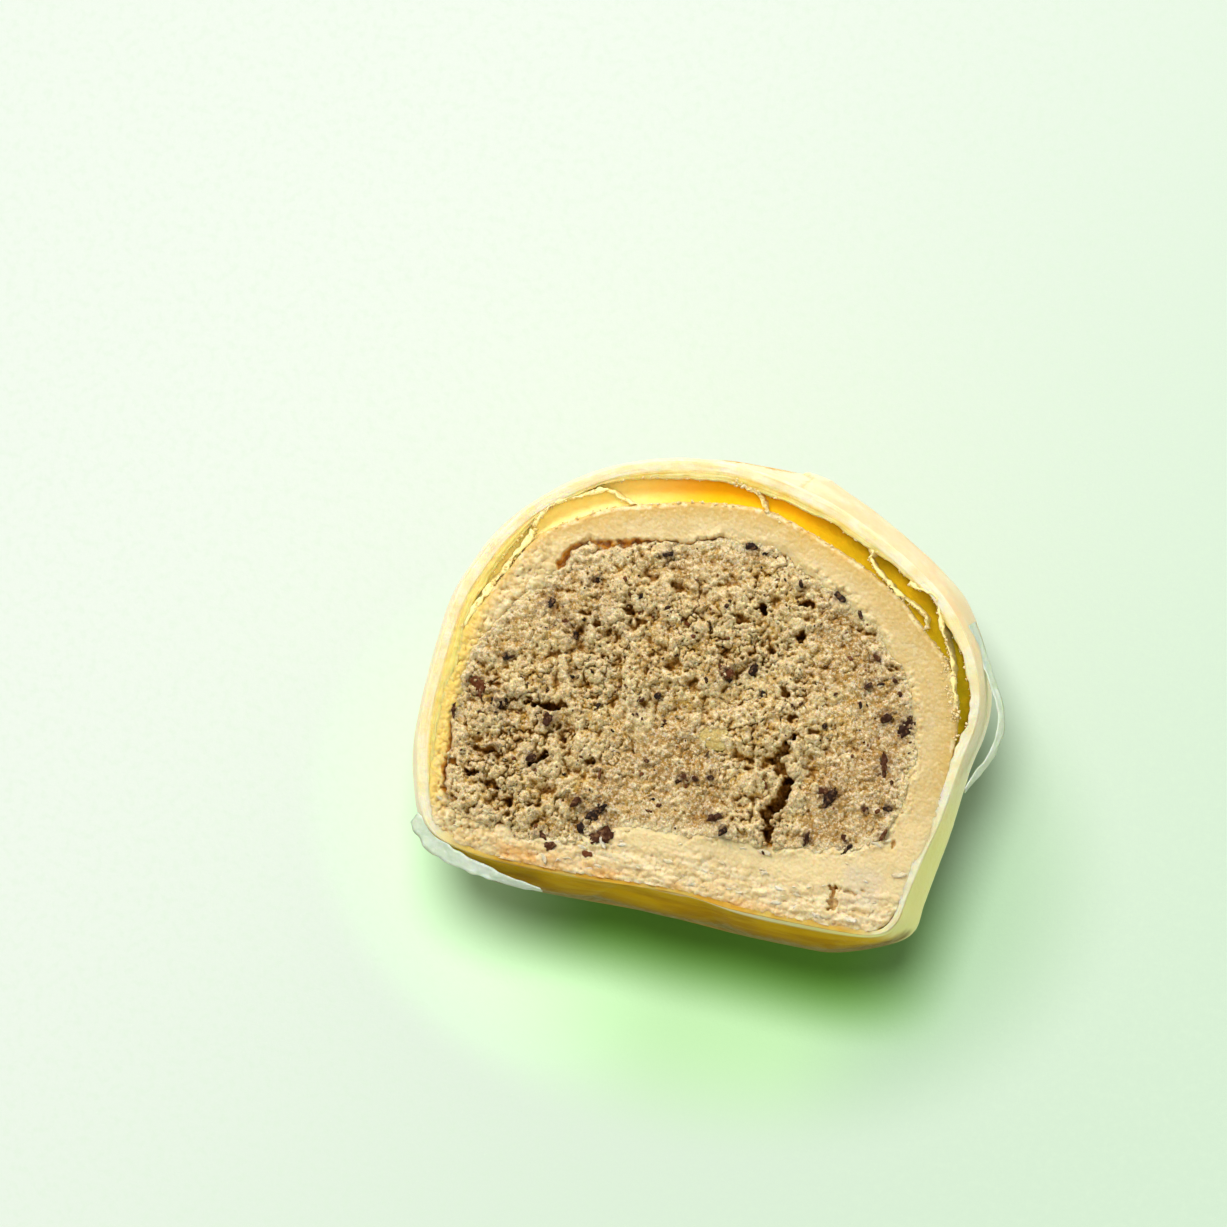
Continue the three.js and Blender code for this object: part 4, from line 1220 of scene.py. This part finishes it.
def gold_powder(look):
    """Gold powder brushed over the crown: its share, colour and grain."""
    across = look.calc("ABSOLUTE", look.calc("ADD", look.x, 0.6))
    wander = look.calc("MULTIPLY_ADD", look.noise(3.4, 10, detail=6, stretch=(1, 1, 0.35)), 5.0, -2.5)
    along = look.times(look.calc("ABSOLUTE", look.calc("ADD", look.z, 10.5)), 0.62)
    squares = look.calc("ADD", look.calc("POWER", across, 2.0), look.calc("POWER", along, 2.0))
    reach = look.calc("ADD", look.calc("POWER", squares, 0.5), wander)
    grain = look.noise(0.55, 11, detail=4)
    reach = look.calc("ADD", reach, look.times(grain, 3.0))
    share = look.times(look.band(reach, 6.7, 5.5), look.band(look.y, 36, 38))
    return share, look.mix(look.band(grain, 0.38, 0.6), "C08A2C", "EDB44C"), grain


def shell_look():
    look = Look("flaky_crust", 0.5, scatter=0.7, scatter_depth=1.5, specular=0.06)
    cut, streak = cut_rim(look)
    powdered, powder, grain = gold_powder(look)
    lip = look.times(look.mask("lip"), look.times(look.band(look.y, 30, 36), look.band(look.z, -9, -5)))
    skin = look.coats(outer_skin(look), underside(look), (powdered, powder), (look.times(lip, 0.6), "E8AE5C"))
    on_cut = look.mask("cut")
    normal = look.bump(look.noise(0.3, 12, detail=4), 0.07)
    normal = look.bump(look.noise(1.2, 13), 0.12, normal)
    normal = look.bump(look.times(streak, on_cut), 0.07, normal)
    normal = look.bump(look.times(grain, powdered), 0.4, normal)
    return look.finish(look.mix(on_cut, skin, cut), normal, look.patches(0.8, 14, 0.3, 0.7, 0.4, 0.62))


def gap_look(name, pale):
    """Yellow at the left, orange at the crown and olive gold at the right, with a pale edge at the cut."""
    look = Look(name, 0.7, scatter=0.4, scatter_depth=1.0, specular=0.05)
    base = look.coats(
        look.mix(look.band(look.x, -14, -3), "FFEEA8", "F2C41C"),
        (look.band(look.x, 3, 13), "C8A818"),
        (look.band(look.x, 18, 23.5), "AC9A14"),
        (look.patches(0.8, 31, 0.4, 0.7, 0, 0.2, stretch=(1, 1, 0.3)), "F8C828"),
        (pale, "F7EBB4"),
        (look.band(look.z, -0.6, 0.1, 0, 0.8), "F5E4A8"),
    )
    return look.finish(base, look.bump(look.noise(0.5, 1, detail=3, stretch=(1, 1, 0.4)), 0.1))


def crumb_look():
    look = Look("gap_crumbs", 0.6, specular=0.2)
    pale = look.mix(look.patches(0.4, 1), "E8CE8A", "F6E8BC")
    return look.finish(look.mix(look.band(look.x, -10, -16, 0, 0.5), pale, "F8DC78"))


def flake_look():
    look = Look("thin_skin", 0.38, scatter=0.5, scatter_depth=1.0)
    look.surface.inputs["Transmission Weight"].default_value = 0.35
    base = look.coats(
        look.mix(look.patches(1.6, 1, 0.4, 0.65, detail=3), "D6E6C8", "E4EED6"),
        (look.patches(0.5, 2, 0.5, 0.7, 0, 0.6), "F2F4E6"),
    )
    return look.finish(base, look.bump(look.noise(0.6, 3, detail=3), 0.1))


def white_flake_look():
    look = Look("white_flakes", 0.5, scatter=0.4)
    base = look.coats(
        look.mix(look.patches(1.1, 1), "F0E0B4", "F8EED0"),
        (look.patches(2.3, 2, 0.52, 0.7, 0, 0.6), "E5C68C"),
    )
    return look.finish(base, look.bump(look.noise(0.3, 3, detail=3), 0.05))


def bean_skin_look():
    look = Look("bean_skin", 0.5, specular=0.15)
    tone = look.mask("tone")
    base = look.coats(
        look.mix(look.band(tone, 0.15, 0.5), "20130C", "44230F"),
        (look.band(tone, 0.5, 0.95), "6A381A"),
        (look.patches(0.35, 1, 0.5, 0.66, 0, 0.6, detail=4), "8A6644"),
    )
    return look.finish(base, look.bump(look.noise(0.3, 2, detail=3), 0.08))


def bean_chunk_look():
    look = Look("cut_bean", 0.6, scatter=0.3)
    apart = look.cells(0.22, 2)["Distance"]
    base = look.coats(
        look.mix(look.patches(0.5, 1, detail=3), "CDB76A", "DDCD92"),
        (look.band(apart, 0.35, 0.6, 0, 0.6), "BC9C4C"),
    )
    return look.finish(base, look.bump(apart, 0.06))


def table_look():
    look = Look("pale_table", 0.75, specular=0.2)
    toward_right = look.calc("MULTIPLY_ADD", look.x, 1.3, look.times(look.y, -0.6))
    # Painted shadow: round the bun the table is painted greener and darker, lighter at its left, and a deep
    # yellow green right under it, for its shadow and the bun's yellow bounce.
    beside = []
    for value, middle, reach in ((look.x, 2.0, 34.0), (look.y, 8.0, 25.0)):
        away = look.calc("ABSOLUTE", look.calc("SUBTRACT", value, middle))
        beside.append(look.calc("POWER", look.calc("DIVIDE", away, reach), 2.0))
    shade = look.coats(
        look.mix(look.band(look.x, -22, 4), "C8F6BC", "A0CC90"), (look.band(look.x, 12, 28), "8CAE88")
    )
    below = look.times(look.band(look.y, -10, -2), look.band(look.y, 14, 4))
    aside = look.calc("ABSOLUTE", look.calc("SUBTRACT", look.x, 5.0))
    base = look.coats(
        # Painted light falloff: paler at the upper left, darker towards the lower right.
        look.mix(look.band(toward_right, -110, 90), "C2CBC2", "AEC3AE"),
        (look.patches(0.9, 2, 0.45, 0.7, 0, 0.3, detail=4), "B4C8B2"),
        (look.band(look.calc("ADD", *beside), 1.7, 0.5, 0, 0.8), shade),
        (look.times(below, look.band(aside, 27, 11, 0, 0.9)), "6AB02C"),
    )
    return look.finish(base, look.bump(look.noise(0.6, 3, detail=4), 0.03))


# ---- Building the mooncake ----
def build_mooncake():
    paste, dough = paste_look(), dough_look()
    shell, skin, white = shell_look(), flake_look(), white_flake_look()

    ceiling, (points, faces, masks) = build_shell()
    make_piece("shell", points, faces, shell, "crust", replaces="crust", masks=masks)
    make_piece("gap_ceiling", *ceiling, gap_look("gap_ceiling", 0.0), "crust")

    on_paste, (points, faces, masks) = build_paste()
    make_piece("bean_paste", points, faces, paste, "filling", "filling", masks)
    on_dough, (points, faces, masks) = build_dough()
    make_piece("inner_dough", points, faces, dough, "crust", masks=masks)
    make_piece("gap_wall", *build_gap_floor(), gap_look("gap_wall", 0.0), "crust")

    layers = [ribbon(*layer, seed=200 + 5 * k) for k, layer in enumerate(GAP_MEMBRANES)]
    make_piece("gap_layers", *join(layers), gap_look("gap_layers", 0.6), "crust")
    make_piece("gap_crumbs", *build_gap_crumbs(), crumb_look(), "crust")
    torn = [torn_flake(*flake, seed=250 + 5 * k) for k, flake in enumerate(TORN_FLAKES)]
    make_piece("torn_flakes", *join(torn), skin, "crust")

    points, faces, masks = build_bean_skins(on_paste, on_dough)
    make_piece("bean_skins", points, faces, bean_skin_look(), "filling", masks=masks)
    make_piece("cut_bean", *build_bean_chunk(on_paste), bean_chunk_look(), "filling")
    make_piece("base_flakes", *build_flakes(on_dough), white, "crust")


# ---- Studio ----
CAMERA_LENS = 180.0  # mm, on a 36 mm sensor
CAMERA_AWAY = 600.0  # mm from the cut
CAMERA_RIGHT, CAMERA_BELOW = 5.0, 4.0  # degrees off the cut's own direction
CAMERA_ROLL = 13.4  # degrees
CAMERA_AIM = (-10.42, 26.41, 0.0)  # the point of the cut at the image's middle
LIGHT_AIM = (0, 20, -8)  # the point that all lights face
TABLE_HALF = 0.6  # m, half the table's side


def set_camera():
    roll = math.radians(CAMERA_ROLL)
    aside, below = math.radians(CAMERA_RIGHT), math.radians(CAMERA_BELOW)
    back = Vector((math.sin(aside), -math.sin(below), 1)).normalized()
    up = Vector((-math.sin(roll), math.cos(roll), 0))
    right = up.cross(back).normalized()
    up = back.cross(right)
    turned = Matrix((right, up, back)).transposed().to_4x4()
    turned.translation = Vector(place(CAMERA_AIM)) + back * CAMERA_AWAY * 0.001
    data = bpy.data.cameras.new("camera")
    data.lens, data.sensor_width = CAMERA_LENS, 36.0
    data.clip_start, data.clip_end = 0.01, 10
    camera = bpy.data.objects.new("camera", data)
    bpy.context.scene.collection.objects.link(camera)
    camera.matrix_world = turned
    bpy.context.scene.camera = camera
    return right, up, back


def add_light(name, direction, away, size, power, tint):
    """An area light that shines on the cut from a direction."""
    data = bpy.data.lights.new(name, "AREA")
    data.shape, data.size, data.energy, data.color = "DISK", size, power, colour(tint)[:3]
    light = bpy.data.objects.new(name, data)
    bpy.context.scene.collection.objects.link(light)
    direction = direction.normalized()
    light.location = Vector(place(LIGHT_AIM)) + direction * away
    light.rotation_euler = direction.to_track_quat("Z", "Y").to_euler()
    return light


def build_studio():
    right, up, back = set_camera()
    key = add_light("key", -0.5 * right + 0.72 * up + 0.7 * back, 1.2, 0.7, 12.5, "FFF6EC")
    top = add_light("top", 0.55 * right + 0.8 * up + 0.25 * back, 1.2, 0.6, 6, "FFF8EE")
    lower = add_light("lower", 0.2 * right - 0.9 * up + 0.7 * back, 0.9, 0.6, 1.4, "F8FFE8")
    over_table = add_light("over_table", -0.07 * right + 0.24 * up + back, 1.1, 0.3, 16.7, "FFFDFD")
    world = bpy.data.worlds.new("studio")
    world.use_nodes = True
    world.node_tree.nodes["Background"].inputs["Color"].default_value = colour("FBF8EE")
    world.node_tree.nodes["Background"].inputs["Strength"].default_value = 0.36
    bpy.context.scene.world = world
    bpy.context.scene.view_settings.view_transform = "Standard"

    mesh = bpy.data.meshes.new("table")
    corners = [(x * TABLE_HALF, y * TABLE_HALF, 0) for x, y in ((-1, -1), (1, -1), (1, 1), (-1, 1))]
    mesh.from_pydata(corners, [], [(0, 1, 2, 3)])
    mesh.materials.append(table_look())
    table = bpy.data.objects.new("table", mesh)
    bpy.context.scene.collection.objects.link(table)
    # The table lies in brighter and steeper light than the cut: each has lights of its own.
    food, table_alone = bpy.data.collections.new("food"), bpy.data.collections.new("table_alone")
    for piece in bpy.context.scene.objects:
        if piece.type == "MESH" and piece.name not in ("table", "torn_flakes"):
            food.objects.link(piece)
    table_alone.objects.link(table)
    table_alone.objects.link(bpy.data.objects["torn_flakes"])
    for light in (key, top, lower):
        light.light_linking.receiver_collection = food
    over_table.light_linking.receiver_collection = table_alone
    # Light comes through the thin shell into the gap.
    gap = bpy.data.collections.new("gap")
    for name in ("gap_ceiling", "gap_wall", "gap_layers"):
        gap.objects.link(bpy.data.objects[name])
    glow = add_light("into_gap", back, 1.0, 0.3, 5.0, "FFF4C8")
    glow.light_linking.receiver_collection = gap


build_mooncake()
build_studio()
bpy.context.view_layer.update()
